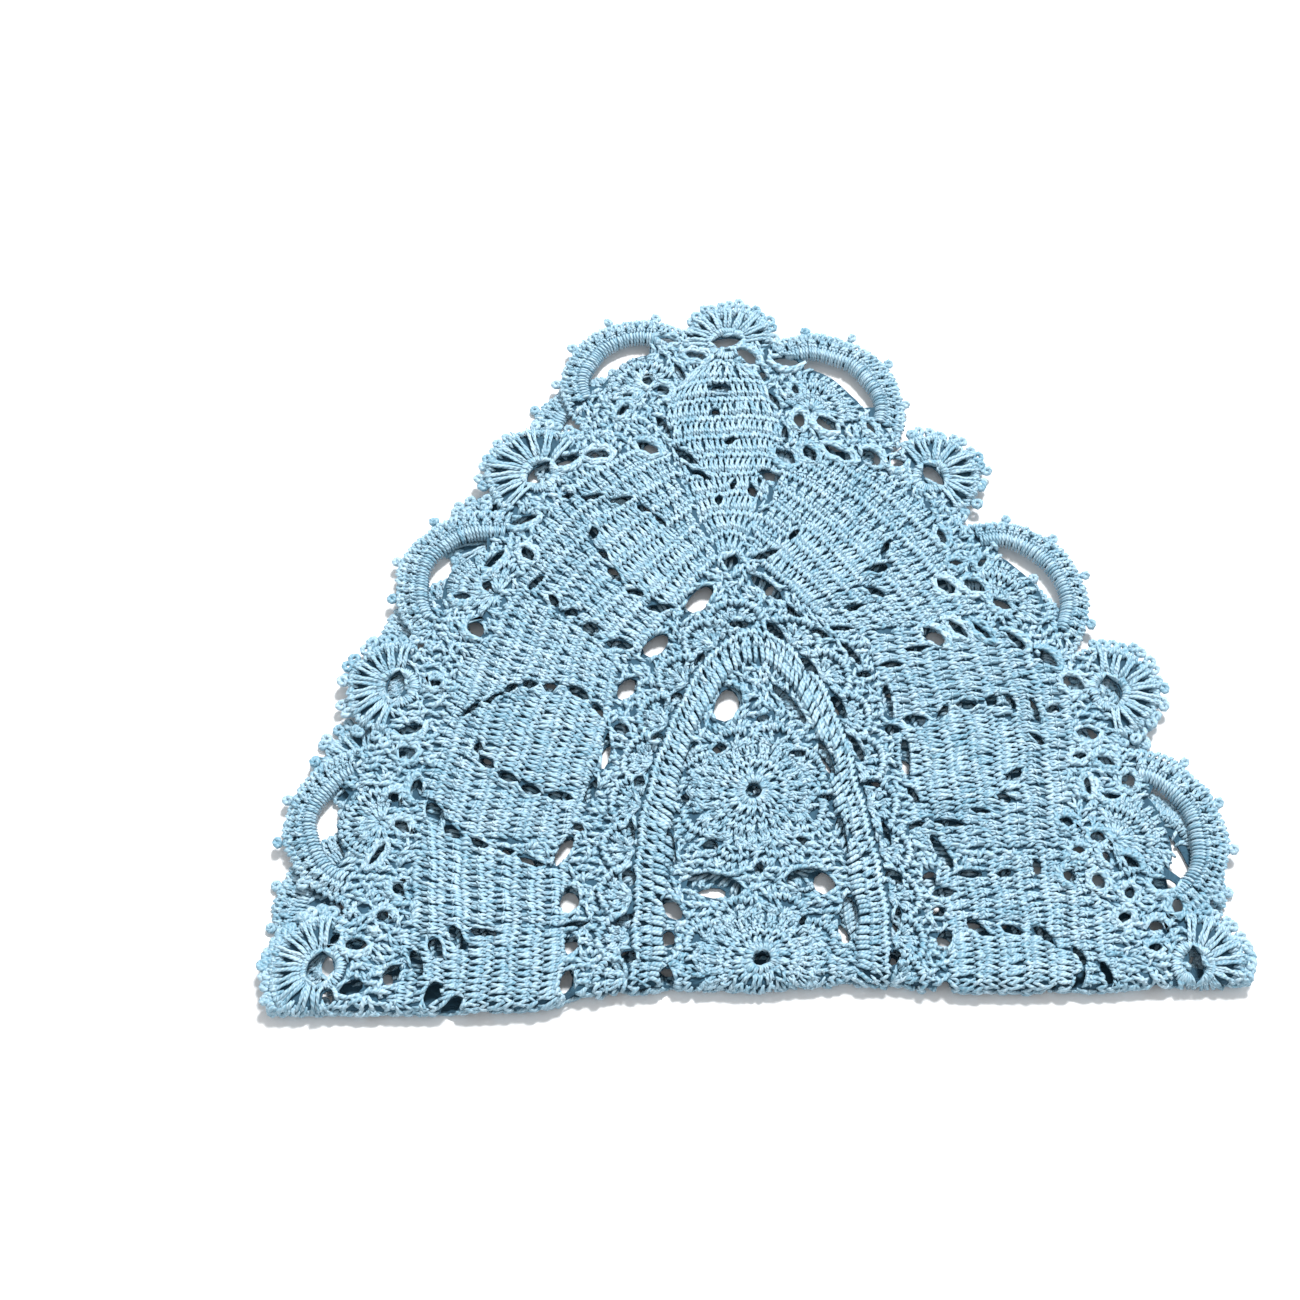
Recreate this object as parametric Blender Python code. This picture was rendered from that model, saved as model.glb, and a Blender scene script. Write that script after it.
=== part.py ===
"""A crocheted lace doily, an oval of twelve leaf panels round a pointed-oval middle, folded once across.

One piece of cotton crochet, so one solid: the lower half lies flat, the cloth turns at the fold,
and the upper half lies on it a little apart. The plan is laid out flat in millimetres, with x
along the fold and y away from it, and is then folded about a slightly slanting line.
"""
import math
from collections import namedtuple

import bmesh
import bpy
from mathutils import Vector
from mathutils.geometry import delaunay_2d_cdt

MM = 0.001

# The cloth and its fold.
THICK = 1.8            # cloth of 0.9 mm cotton in double crochet
REST_GAP = 0.7         # air between the two layers away from the fold
FOLD_RADIUS = 2.3      # of the cloth's middle surface
FOLD_EDGE_Y = -5.0     # front of the fold at x = 0
FOLD_SLOPE = 0.030     # the fold runs a little askew
FOLD_STEPS = 5         # flat strips round the bend
FOLD_POINT_STEP = 13.0  # along each strip's edges
SPRING_REACH = 16.0    # how far from the fold the upper layer stays lifted
WAVE_HEIGHT = 0.5      # slow rise and fall of the upper layer
WAVE_X, WAVE_Y = 58.0, 74.0
PULL_REACH = 22.0      # how far the fold's unevenness reaches into the cloth
AXIS_Y = 5.0           # the oval's own short axis, just behind the fold

# The fold's front edge is drawn in or out of its straight line, by this much along x.
Pull = namedtuple("Pull", "x inward")
PULLS = (
    Pull(-160, 0.0), Pull(-130, -0.8), Pull(-100, -2.0), Pull(-64, -1.2), Pull(-56, 2.4),
    Pull(-30, 4.4), Pull(0, 2.8), Pull(30, 4.6), Pull(50, 2.5), Pull(65, 0.6),
    Pull(108, -0.6), Pull(130, 0.2), Pull(160, 0.0),
)

# The middle: rosettes in a pointed oval band of long stitches.
ROSETTE_X = 1.0
ROSETTE_Y = (5.0, 66.0)
ROSETTE_RADIUS = 25.0
BAND_OUT = (41.0, 122.0)   # half width and half length of the band's outer edge
BAND_IN = (30.0, 108.0)
BAND_POWER = 0.52          # an ellipse is 0.5; a little more points its ends
SHELL_PITCH = 16.0         # shells worked round the band

# What stands proud of the upper layer.
BAND_RISE = 1.2
CORD_RISE = 1.9            # the wrapped cord along an arc's inner side
ARC_EDGE_RISE = 0.5
LEAF_RISE = 1.0
FRAME_RISE = 0.9           # the rows round a leaf, outside its openings
FRAME_OUT = 6.5
ROSETTE_RISE = 0.9
SHELL_RISE = 0.8
FAN_RISE = 1.0
RELIEF_STEP = 6.5

# The border's edge.
PICOT_STEP = 4.2
PICOT_RISE = 1.7
VALLEY_FILL = 3.0          # cloth that joins two scallops at their feet
FAN_HOLE = 4.2
CRESCENT_WIDTH = 6.0
CRESCENT_INSET = 14.0      # degrees kept at each end of an arc

# Openings.
MOST_HOLES = 300
LEAST_WEB = 1.1            # cloth left between two openings
NET_PITCH = 13.6
NET_HOLE = (5.4, 4.2)
NET_SIDE = 7.0
LEAF_HOLE = (4.8, 3.4)
LEAF_HOLE_PITCH = 11.6

Fan = namedtuple("Fan", "x y facing radius")
FANS = (
    Fan(-136, 5, 180, 22),
    Fan(-119, 104, 168, 22),
    Fan(-73, 191, 143, 24),
    Fan(-5, 249, 92, 21),
    Fan(66, 190, 32, 22),
    Fan(120, 104, 5, 21.5),
    Fan(136, 6, 0, 21.5),
)

Arc = namedtuple("Arc", "x y facing inner outer")
ARCS = (
    Arc(-123, 54, 178, 19, 30),
    Arc(-89, 144, 146, 21.5, 33),
    Arc(-36, 230, 133, 19.5, 30.5),
    Arc(27, 220, 52, 22, 33.5),
    Arc(87, 139, 36, 22, 32),
    Arc(121, 50, 8, 22, 34),
)
ARC_SPAN = 62              # degrees each side of where an arc faces

Leaf = namedtuple("Leaf", "x y facing length width base widest")
LEAVES = (
    Leaf(-62, 5, 180, 50, 14, 0.85, 0.4),
    Leaf(-51, 83, 179, 42, 18.5, 0.8, 0.45),
    Leaf(-20, 142, 136, 46, 14, 0.8, 0.45),
    Leaf(-6, 160, 91, 82, 20, 0.12, 0.68),
    Leaf(11, 146, 27, 39, 16, 0.8, 0.45),
    Leaf(51, 77, 1, 42, 18.5, 0.8, 0.45),
    Leaf(63, 5, 0, 40, 13, 0.85, 0.45),
)

# Seams between neighbouring panels, each a line of openings.
Seam = namedtuple("Seam", "x0 y0 x1 y1 count")
SEAMS = (
    Seam(-70, 42, -100, 53, 3),
    Seam(-55, 128, -72, 142, 2),
    Seam(-16, 186, -27, 200, 2),
    Seam(34, 128, 58, 126, 2),
    Seam(70, 37, 96, 43, 3),
)

# The larger gaps round the rosettes and shells, each about an ellipse.
Gap = namedtuple("Gap", "x y length width angle")
GAPS = (
    Gap(-8, 99, 13, 8, 75),
    Gap(12, 99, 14, 4.2, -55),
    Gap(25, 77, 12, 4, -68),
    Gap(-26.5, 46, 13, 4.6, 82),
    Gap(27.5, 46, 12, 4.6, -80),
    Gap(-14, 34.5, 15, 6.5, -12),
    Gap(18, 35.5, 13, 7, -22),
    Gap(-27, 20, 9, 4.6, 60),
    Gap(28.5, 19, 10, 4.4, 80),
    Gap(-60, 28, 8, 5, 85),
    Gap(-58, 12, 7, 4.4, 85),
    Gap(-59, 46, 8, 4.4, 60),
    Gap(-42, 104, 8, 5, 50),
    Gap(-33, 122, 11, 6, 50),
    Gap(-17, 139, 12, 7, 50),
    Gap(-5, 155, 4.6, 4.6, 90),
    Gap(8, 143, 11, 4.2, -50),
    Gap(38, 112, 9, 4.6, -50),
    Gap(47, 99, 7, 4.2, 80),
    Gap(58, 40, 8, 4.6, 60),
    Gap(60, 22, 8, 5, 50),
)

# The net between the panels and the border, from the left end of the short axis to the right.
NET = (
    (-113, 5), (-111, 28), (-107, 50), (-108, 72), (-104, 94), (-95, 117), (-82, 136), (-75, 158),
    (-67, 178), (-52, 194), (-38, 203), (-30, 216), (-25, 232), (-16, 243), (-3, 245), (9, 239),
    (15, 222), (20, 209), (32, 201), (46, 198), (58, 188), (66, 170), (73, 149), (82, 131),
    (94, 120), (104, 105), (107, 85), (105, 64), (107, 45), (112, 26), (114, 5),
)


def unit(degrees):
    return Vector((math.cos(math.radians(degrees)), math.sin(math.radians(degrees))))


def mirrored(point):
    """The same place in the other half of the oval."""
    return Vector((point[0], 2 * AXIS_Y - point[1]))


def ellipse(x, y, length, width, angle, count=6):
    along, across = unit(angle), unit(angle + 90)
    turns = [2 * math.pi * (i + 0.5) / count for i in range(count)]
    return [
        Vector((x, y)) + along * (length / 2 * math.cos(t)) + across * (width / 2 * math.sin(t))
        for t in turns
    ]


def band_half_width(edge, y):
    half_width, half_length = edge
    share = (y - AXIS_Y) / half_length
    return half_width * max(0.0, 1 - share * share) ** BAND_POWER


def band_line(edge, steps):
    """One side of a pointed oval, from the short axis to its point, evenly turned."""
    angles = [math.pi / 2 * i / steps for i in range(steps + 1)]
    heights = [AXIS_Y + edge[1] * math.sin(a) for a in angles]
    return [Vector((band_half_width(edge, y), y)) for y in heights]


def walk(points, pitch, start=0.0):
    """(place, direction) every pitch along a line of points."""
    found, ahead = [], start
    for a, b in zip(points, points[1:]):
        length = (b - a).length
        while ahead <= length:
            found.append((a.lerp(b, ahead / length), (b - a).normalized()))
            ahead += pitch
        ahead -= length
    return found


def curve(points, steps=4):
    """A smooth line through the points."""
    points = [Vector(p) for p in points]
    ends = [2 * points[0] - points[1]] + points + [2 * points[-1] - points[-2]]
    line = []
    for p0, p1, p2, p3 in zip(ends, ends[1:], ends[2:], ends[3:]):
        for i in range(steps):
            t = i / steps
            line.append(
                0.5 * (2 * p1 + (p2 - p0) * t + (2 * p0 - 5 * p1 + 4 * p2 - p3) * t**2
                       + (3 * p1 - p0 - 3 * p2 + p3) * t**3)
            )
    return line + [points[-1]]


def leaf_half_width(leaf, t):
    if t < leaf.widest:
        rise = math.sin(math.pi / 2 * t / leaf.widest)
        return leaf.width * (leaf.base + (1 - leaf.base) * rise)
    return leaf.width * math.sqrt(max(0.0, 1 - ((t - leaf.widest) / (1 - leaf.widest)) ** 2))


def leaf_edge(leaf, steps=14):
    """The leaf's outline from one side of its base round the tip to the other."""
    ahead, aside = unit(leaf.facing), unit(leaf.facing + 90)
    base = Vector((leaf.x, leaf.y))
    side = [math.sin(math.pi / 2 * i / steps) for i in range(steps + 1)]
    right = [base + ahead * (t * leaf.length) - aside * leaf_half_width(leaf, t) for t in side]
    left = [base + ahead * (t * leaf.length) + aside * leaf_half_width(leaf, t) for t in side]
    return right + left[-2::-1]


def meeting(a, ra, b, rb):
    """Where two of the border's circles meet, on the outer side."""
    a, b = Vector(a), Vector(b)
    apart = b - a
    along = (apart.length_squared + ra * ra - rb * rb) / (2 * apart.length)
    aside = math.sqrt(max(0.0, ra * ra - along * along))
    ahead = apart.normalized()
    foot = a + ahead * along
    centre = Vector((0, AXIS_Y))
    sides = [foot + Vector((-ahead.y, ahead.x)) * s for s in (aside, -aside)]
    return max(sides, key=lambda p: (p - centre).length)


def border():
    """The scallops as circles, clockwise from the left end of the short axis all the way round."""
    upper = [(Vector((FANS[0].x, FANS[0].y)), FANS[0].radius)]
    for arc, fan in zip(ARCS, FANS[1:]):
        upper.append((Vector((arc.x, arc.y)), arc.outer))
        upper.append((Vector((fan.x, fan.y)), fan.radius))
    lower = [(mirrored(centre), radius) for centre, radius in upper[-2:0:-1]]
    return upper + lower


def outline():
    """The scallops' outer sides, the picots raised, joined across the valleys between them."""
    circles = border()
    count = len(circles)
    valleys = [
        meeting(*circles[i - 1], *circles[i]) for i in range(count)
    ]
    points = []
    for i, (centre, radius) in enumerate(circles):
        start, end = valleys[i] - centre, valleys[(i + 1) % count] - centre
        turn = (math.atan2(start.y, start.x) - math.atan2(end.y, end.x)) % (2 * math.pi)
        steps = 2 * round(turn * radius / PICOT_STEP / 2)
        first = math.degrees(math.atan2(start.y, start.x))
        beside = (circles[i - 1], circles[(i + 1) % count])
        for k in range(steps + 1):
            rise = PICOT_RISE if k % 2 else 0.0
            place = centre + unit(first - math.degrees(turn) * k / steps) * (radius + rise)
            if all((place - other).length > reach + VALLEY_FILL for other, reach in beside):
                points.append(place)
    return points


def crescent(arc):
    """The open sickle inside an arc, between it and the small fan that it frames."""
    span = ARC_SPAN - CRESCENT_INSET
    centre = Vector((arc.x, arc.y))
    outer = [centre + unit(arc.facing + span * t) * (arc.inner - 0.4) for t in (-1, -0.5, 0, 0.5, 1)]
    inner = [
        centre + unit(arc.facing + span * t) * (arc.inner - CRESCENT_WIDTH * (1.05 - 0.8 * t * t))
        for t in (0.6, 0, -0.6)
    ]
    return outer + inner


def shell_holes():
    """The openings at the feet of the shells, along the band's outer edge."""
    line = [Vector((p.x + 2.2 * (1 - i / 30), p.y)) for i, p in enumerate(band_line(BAND_OUT, 24))]
    places = walk(line, SHELL_PITCH, SHELL_PITCH * 0.9)
    found = []
    for place, ahead in places:
        angle = math.degrees(math.atan2(ahead.y, ahead.x))
        found.append(ellipse(ROSETTE_X + place.x, place.y, 5.6, 4.1, angle, 4))
        found.append(ellipse(ROSETTE_X - place.x, place.y, 5.6, 4.1, 180 - angle, 4))
    return found


def leaf_holes(leaf):
    line = leaf_edge(leaf)
    found = []
    for place, ahead in walk(line, LEAF_HOLE_PITCH, LEAF_HOLE_PITCH * 0.8):
        outward = Vector((ahead.y, -ahead.x))
        place = place + outward * 1.4
        angle = math.degrees(math.atan2(ahead.y, ahead.x))
        found.append(ellipse(place.x, place.y, *LEAF_HOLE, angle, 4))
    return found


def net_holes():
    """Openings to one side and the other of the net's line, in turn."""
    found = []
    for i, (place, ahead) in enumerate(walk(curve(NET), NET_PITCH, NET_PITCH * 0.7)):
        place = place + Vector((-ahead.y, ahead.x)) * (NET_SIDE if i % 2 else -NET_SIDE * 0.3)
        angle = math.degrees(math.atan2(ahead.y, ahead.x))
        found.append(ellipse(place.x, place.y, *NET_HOLE, angle, 4))
    return found


def seam_holes(seam):
    start, end = Vector((seam.x0, seam.y0)), Vector((seam.x1, seam.y1))
    angle = math.degrees(math.atan2(end.y - start.y, end.x - start.x))
    places = [start.lerp(end, i / (seam.count - 1)) for i in range(seam.count)]
    return [ellipse(p.x, p.y, 5.2, 4.1, angle, 4) for p in places]


def upper_holes():
    """The largest of each repeat first."""
    found = [crescent(arc) for arc in ARCS]
    for fan in FANS:
        centre = Vector((fan.x, fan.y)) + unit(fan.facing) * 1.0
        found.append(ellipse(*centre, 2 * FAN_HOLE, 1.5 * FAN_HOLE, fan.facing + 90))
    found += [ellipse(*gap) for gap in GAPS]
    found += shell_holes()
    for seam in SEAMS:
        found += seam_holes(seam)
    for leaf in LEAVES:
        found += leaf_holes(leaf)
    return found + net_holes()


def near(a, b):
    """True if two openings come closer than the web of cloth between them."""
    ca, cb = sum(a, Vector((0, 0))) / len(a), sum(b, Vector((0, 0))) / len(b)
    ra, rb = max((p - ca).length for p in a), max((p - cb).length for p in b)
    if (ca - cb).length > ra + rb + LEAST_WEB:
        return False
    return crosses(a, b)


def distance_to_edge(p, a, b):
    ab = b - a
    t = max(0.0, min(1.0, (p - a).dot(ab) / ab.length_squared))
    return (p - (a + ab * t)).length


def inside(p, polygon):
    odd = False
    for a, b in zip(polygon, polygon[1:] + polygon[:1]):
        if (a.y > p.y) != (b.y > p.y) and p.x < (b.x - a.x) * (p.y - a.y) / (b.y - a.y) + a.x:
            odd = not odd
    return odd


def crosses(a, b):
    for one, other in ((a, b), (b, a)):
        edges = list(zip(other, other[1:] + other[:1]))
        for p in one:
            if inside(p, other) or min(distance_to_edge(p, *e) for e in edges) < LEAST_WEB:
                return True
    return False


def clear_of_edge(hole, edge):
    sides = list(zip(edge, edge[1:] + edge[:1]))
    centre = sum(hole, Vector((0, 0))) / len(hole)
    close = [s for s in sides if min((s[0] - centre).length, (s[1] - centre).length) < 22]
    return all(
        inside(p, edge) and all(distance_to_edge(p, *s) > LEAST_WEB for s in close) for p in hole
    )


def openings(edge):
    """Both halves' openings, each half's in turn, none nearer another than the least web."""
    kept = []
    for hole in upper_holes():
        for polygon in (hole, [mirrored(p) for p in reversed(hole)]):
            if len(kept) < MOST_HOLES and clear_of_edge(polygon, edge):
                if not any(near(polygon, other) for other in kept):
                    kept.append(polygon)
    return kept


def spaced(line, step=RELIEF_STEP):
    return [place for place, _ in walk(line, step, step * 0.5)]


def round_line(x, y, radius, first=0.0, turn=360.0):
    count = max(3, round(math.radians(turn) * radius / RELIEF_STEP))
    return [Vector((x, y)) + unit(first + turn * (i + 0.5) / count) * radius for i in range(count)]


def ridges():
    """(points, rise) of what stands proud of the upper layer, and of the low lines beside it."""
    found = []
    middle = [(BAND_OUT[i] + BAND_IN[i]) / 2 for i in (0, 1)]
    for edge, rise in ((BAND_OUT, 0.3), (middle, BAND_RISE), (BAND_IN, 0.1)):
        for side in (-1, 1):
            line = [Vector((ROSETTE_X + side * p.x, p.y)) for p in band_line(edge, 24)]
            found.append((spaced(line), rise))
    shells = [edge + 9.0 for edge in BAND_OUT]
    for side in (-1, 1):
        line = [Vector((ROSETTE_X + side * p.x, p.y)) for p in band_line(shells, 24)]
        found.append((spaced(line, SHELL_PITCH / 2), SHELL_RISE))
    for arc in ARCS:
        for radius, rise in ((arc.inner + 2.4, CORD_RISE), (arc.outer - 2.6, ARC_EDGE_RISE)):
            line = round_line(arc.x, arc.y, radius, arc.facing - ARC_SPAN, 2 * ARC_SPAN)
            found.append((line, rise))
    for fan in FANS:
        found.append((round_line(fan.x, fan.y, fan.radius * 0.5), FAN_RISE))
        found.append((round_line(fan.x, fan.y, fan.radius * 0.82), 0.3))
    for leaf in LEAVES:
        ahead, aside = unit(leaf.facing), unit(leaf.facing + 90)
        base = Vector((leaf.x, leaf.y))
        for t in (0.12, 0.28, 0.44, 0.6, 0.76):
            reach = leaf_half_width(leaf, t)
            places = [base + ahead * (leaf.length * t) + aside * (reach * w) for w in (-0.4, 0.4)]
            found.append((places, LEAF_RISE))
        wide = leaf._replace(
            length=leaf.length + FRAME_OUT, width=leaf.width + FRAME_OUT, base=min(1.0, leaf.base + 0.15)
        )
        found.append((spaced(leaf_edge(wide)), FRAME_RISE))
    for y in ROSETTE_Y:
        found.append((round_line(ROSETTE_X, y, ROSETTE_RADIUS * 0.3), ROSETTE_RISE))
        found.append((round_line(ROSETTE_X, y, ROSETTE_RADIUS * 0.62), 0.1))
        found.append((round_line(ROSETTE_X, y, ROSETTE_RADIUS * 0.9), SHELL_RISE))
    return found


def relief(edge, holes):
    """Points of the relief that keep clear of the openings, the edge and one another."""
    walls = []
    for ring in [edge] + holes:
        walls += list(zip(ring, ring[1:] + ring[:1]))
    kept = []
    for line, rise in ridges():
        for p in line:
            if from_bend(p) < 2 * BEND or not inside(p, edge):
                continue
            if any((p - hole[0]).length < 24 and inside(p, hole) for hole in holes):
                continue
            if any((p - a).length < 12 and distance_to_edge(p, a, b) < 1.0 for a, b in walls):
                continue
            if all((p - other).length > 2.6 for other, _ in kept):
                kept.append((p, rise))
    return kept


BEND = math.pi / 2 * FOLD_RADIUS
FOLD_AHEAD = Vector((1, FOLD_SLOPE)).normalized()
FOLD_OUT = Vector((-FOLD_AHEAD.y, FOLD_AHEAD.x))
FOLD_START = Vector((0, FOLD_EDGE_Y)) + FOLD_OUT * (FOLD_RADIUS + THICK / 2)


def from_bend(point):
    """Distance in the flat cloth from the middle of the bend, above zero in the upper half."""
    return (point - FOLD_START).dot(FOLD_OUT) + BEND


def flat_cloth():
    """The flat lace as triangles: (points, faces), and the rise of each ridge point."""
    edge = outline()
    holes = openings(edge)
    points, lines = [], []

    def add(line, closed):
        first = len(points)
        points.extend(line)
        last = len(points) - 1
        lines.extend((i, i + 1) for i in range(first, last))
        if closed:
            lines.append((last, first))

    add(edge, True)
    for hole in holes:
        add(hole, True)
    rises = {}
    for p, rise in relief(edge, holes):
        points.append(p)
        rises[(round(p.x, 2), round(p.y, 2))] = rise
    count = round(330 / FOLD_POINT_STEP)
    for k in range(FOLD_STEPS + 1):
        foot = FOLD_START + FOLD_OUT * (2 * BEND * k / FOLD_STEPS - 2 * BEND)
        add([foot + FOLD_AHEAD * ((i - count / 2) * FOLD_POINT_STEP) for i in range(count + 1)], False)
    places, _, faces, _, _, _ = delaunay_2d_cdt(points, lines, [], 0, 1e-4)
    kept = []
    for face in faces:
        centre = sum((places[i] for i in face), Vector((0, 0))) / 3
        if inside(centre, edge) and not any(
            (centre - hole[0]).length < 40 and inside(centre, hole) for hole in holes
        ):
            kept.append(face)
    return places, kept, rises, len(holes)


def pulled(x, y, z):
    """A place in the folded cloth moved with the uneven fold."""
    for a, b in zip(PULLS, PULLS[1:]):
        if a.x <= x <= b.x:
            t = (x - a.x) / (b.x - a.x)
            t = t * t * (3 - 2 * t)
            inward = a.inward + (b.inward - a.inward) * t
            away = (y - FOLD_EDGE_Y - FOLD_SLOPE * x) / PULL_REACH
            return (x, y + inward * math.exp(-max(0.0, away) ** 2), z)
    return (x, y, z)


def folded(point, rise):
    """The front and back of the cloth at a flat point, once it is folded."""
    s = from_bend(point)
    foot = point - FOLD_OUT * (point - FOLD_START).dot(FOLD_OUT)
    half = THICK / 2
    if s <= -BEND:
        place = foot + FOLD_OUT * (-s - BEND)
        return (place.x, place.y, 0.0), (place.x, place.y, THICK)
    if s < BEND:
        turn = s / FOLD_RADIUS
        height = half + FOLD_RADIUS * (1 + math.sin(turn))
        out = -FOLD_RADIUS * math.cos(turn)
        sides = []
        for reach in (half, -half):
            place = foot + FOLD_OUT * (out - reach * math.cos(turn))
            sides.append((place.x, place.y, height + reach * math.sin(turn)))
        return sides[0], sides[1]
    away = s - BEND
    spring = (2 * FOLD_RADIUS - THICK - REST_GAP) * math.exp(-((away / SPRING_REACH) ** 2))
    settle = 1 - math.exp(-((away / SPRING_REACH) ** 2))
    wave = WAVE_HEIGHT * settle * (
        1 + 0.5 * math.sin(point.x / WAVE_X * math.pi) + 0.5 * math.cos(point.y / WAVE_Y * math.pi)
    )
    low = THICK + REST_GAP + spring + wave
    place = foot + FOLD_OUT * away
    return (place.x, place.y, low + THICK + rise), (place.x, place.y, low)


def cotton():
    material = bpy.data.materials.new("cotton_yarn")
    material.use_nodes = True
    shader = material.node_tree.nodes["Principled BSDF"]
    shader.inputs["Base Color"].default_value = (0.27, 0.47, 0.60, 1)
    shader.inputs["Roughness"].default_value = 0.75
    shader.inputs["Metallic"].default_value = 0.0
    return material


def doily():
    places, faces, rises, _ = flat_cloth()
    mesh = bmesh.new()
    fronts, backs = [], []
    for p in places:
        front, back = folded(p, rises.get((round(p.x, 2), round(p.y, 2)), 0.0))
        fronts.append(mesh.verts.new([v * MM for v in pulled(*front)]))
        backs.append(mesh.verts.new([v * MM for v in pulled(*back)]))
    sides = {}
    for a, b, c in faces:
        mesh.faces.new((fronts[a], fronts[b], fronts[c]))
        mesh.faces.new((backs[c], backs[b], backs[a]))
        for pair in ((a, b), (b, c), (c, a)):
            sides[pair] = sides.get(pair, 0) + 1
    for a, b in sides:
        if (b, a) not in sides:
            mesh.faces.new((fronts[b], fronts[a], backs[a], backs[b]))
    loose = [v for v in mesh.verts if not v.link_faces]
    bmesh.ops.delete(mesh, geom=loose, context="VERTS")
    bmesh.ops.remove_doubles(mesh, verts=mesh.verts[:], dist=0.05 * MM)
    bmesh.ops.triangulate(mesh, faces=mesh.faces[:])
    low = Vector([min(v.co[k] for v in mesh.verts) for k in range(3)])
    high = Vector([max(v.co[k] for v in mesh.verts) for k in range(3)])
    middle = Vector(((low.x + high.x) / 2, (low.y + high.y) / 2, low.z))
    bmesh.ops.translate(mesh, verts=mesh.verts[:], vec=-middle)
    data = bpy.data.meshes.new("doily")
    mesh.to_mesh(data)
    mesh.free()
    data.shade_smooth()
    data.set_sharp_from_angle(angle=math.radians(35))
    piece = bpy.data.objects.new("doily", data)
    bpy.context.scene.collection.objects.link(piece)
    data.materials.append(cotton())
    return piece


for old in list(bpy.data.objects):
    bpy.data.objects.remove(old)
doily()
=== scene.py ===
import math
from collections import namedtuple

import bpy
import numpy as np
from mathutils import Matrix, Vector
from mathutils.geometry import delaunay_2d_cdt


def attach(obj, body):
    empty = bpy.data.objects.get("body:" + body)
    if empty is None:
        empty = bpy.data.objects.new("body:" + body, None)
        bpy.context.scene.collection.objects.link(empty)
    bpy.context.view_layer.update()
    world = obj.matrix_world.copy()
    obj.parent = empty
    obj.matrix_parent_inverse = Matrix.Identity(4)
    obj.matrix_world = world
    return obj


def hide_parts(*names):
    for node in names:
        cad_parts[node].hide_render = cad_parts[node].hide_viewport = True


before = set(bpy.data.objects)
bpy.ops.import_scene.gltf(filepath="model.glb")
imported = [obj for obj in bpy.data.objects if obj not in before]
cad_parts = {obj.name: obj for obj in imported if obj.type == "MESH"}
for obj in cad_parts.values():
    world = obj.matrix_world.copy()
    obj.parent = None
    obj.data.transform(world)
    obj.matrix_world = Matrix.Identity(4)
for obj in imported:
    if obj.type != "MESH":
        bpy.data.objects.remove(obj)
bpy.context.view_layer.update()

# ----------------------------------------------------------------------
# The worked cloth. One oval of cotton crochet, laid out flat here in millimetres with x along
# the fold and y away from it, and folded about a slightly slanting line. This thin sheet is the
# body of the fabric under the stitches: dense where rows are packed, cut through at each gap.
# Its dark colour is painted shade, the shadow that falls between and under the stitches.
PLAN_CENTRE = (-0.172, 130.923)
MM = 0.001
THICK = 1.8
REST_GAP = 0.7
AXIS_Y = 5.0
FOLD_RADIUS = 2.3
FOLD_EDGE_Y = -5.0
FOLD_SLOPE = 0.030
BEND = math.pi / 2 * FOLD_RADIUS
FOLD_AHEAD = np.array([1, FOLD_SLOPE]) / math.hypot(1, FOLD_SLOPE)
FOLD_OUT = np.array([-FOLD_AHEAD[1], FOLD_AHEAD[0]])
FOLD_START = np.array([0, FOLD_EDGE_Y]) + FOLD_OUT * (FOLD_RADIUS + THICK / 2)
# Stitches are pressed flatter near the bend, and the cloth springs up behind it.
FOLD_PRESS, FOLD_PRESS_REACH = 0.3, 6.0
SPRING_REACH = 16.0
WAVE_HEIGHT = 0.5
WAVE_X, WAVE_Y = 58.0, 74.0
# The rows stray sideways, slowly over a motif and quickly over a stitch.
STRAY_SLOW, STRAY_QUICK = 0.7, 0.35
LOWEST_MIDDLE = 0.4
# How far the fold is drawn in, along it.
PULL_REACH = 22.0
PULLS = np.array([
    (-160, 0.0), (-130, -0.8), (-100, -2.0), (-64, -1.2), (-56, 2.4), (-30, 4.4), (0, 2.8),
    (30, 4.6), (50, 2.5), (65, 0.6), (108, -0.6), (130, 0.2), (160, 0.0),
])


def unit(degrees):
    """The directions of angles."""
    a = np.radians(degrees)
    return np.stack([np.cos(a), np.sin(a)], axis=-1)


def lengths(vectors):
    return np.linalg.norm(vectors, axis=-1)


def left_of(vectors):
    return np.stack([-vectors[..., 1], vectors[..., 0]], axis=-1)


def past_bend(plan):
    """Distance in the flat cloth from the middle of the bend, above zero in the upper half."""
    return (np.asarray(plan, float) - FOLD_START) @ FOLD_OUT + BEND


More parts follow.
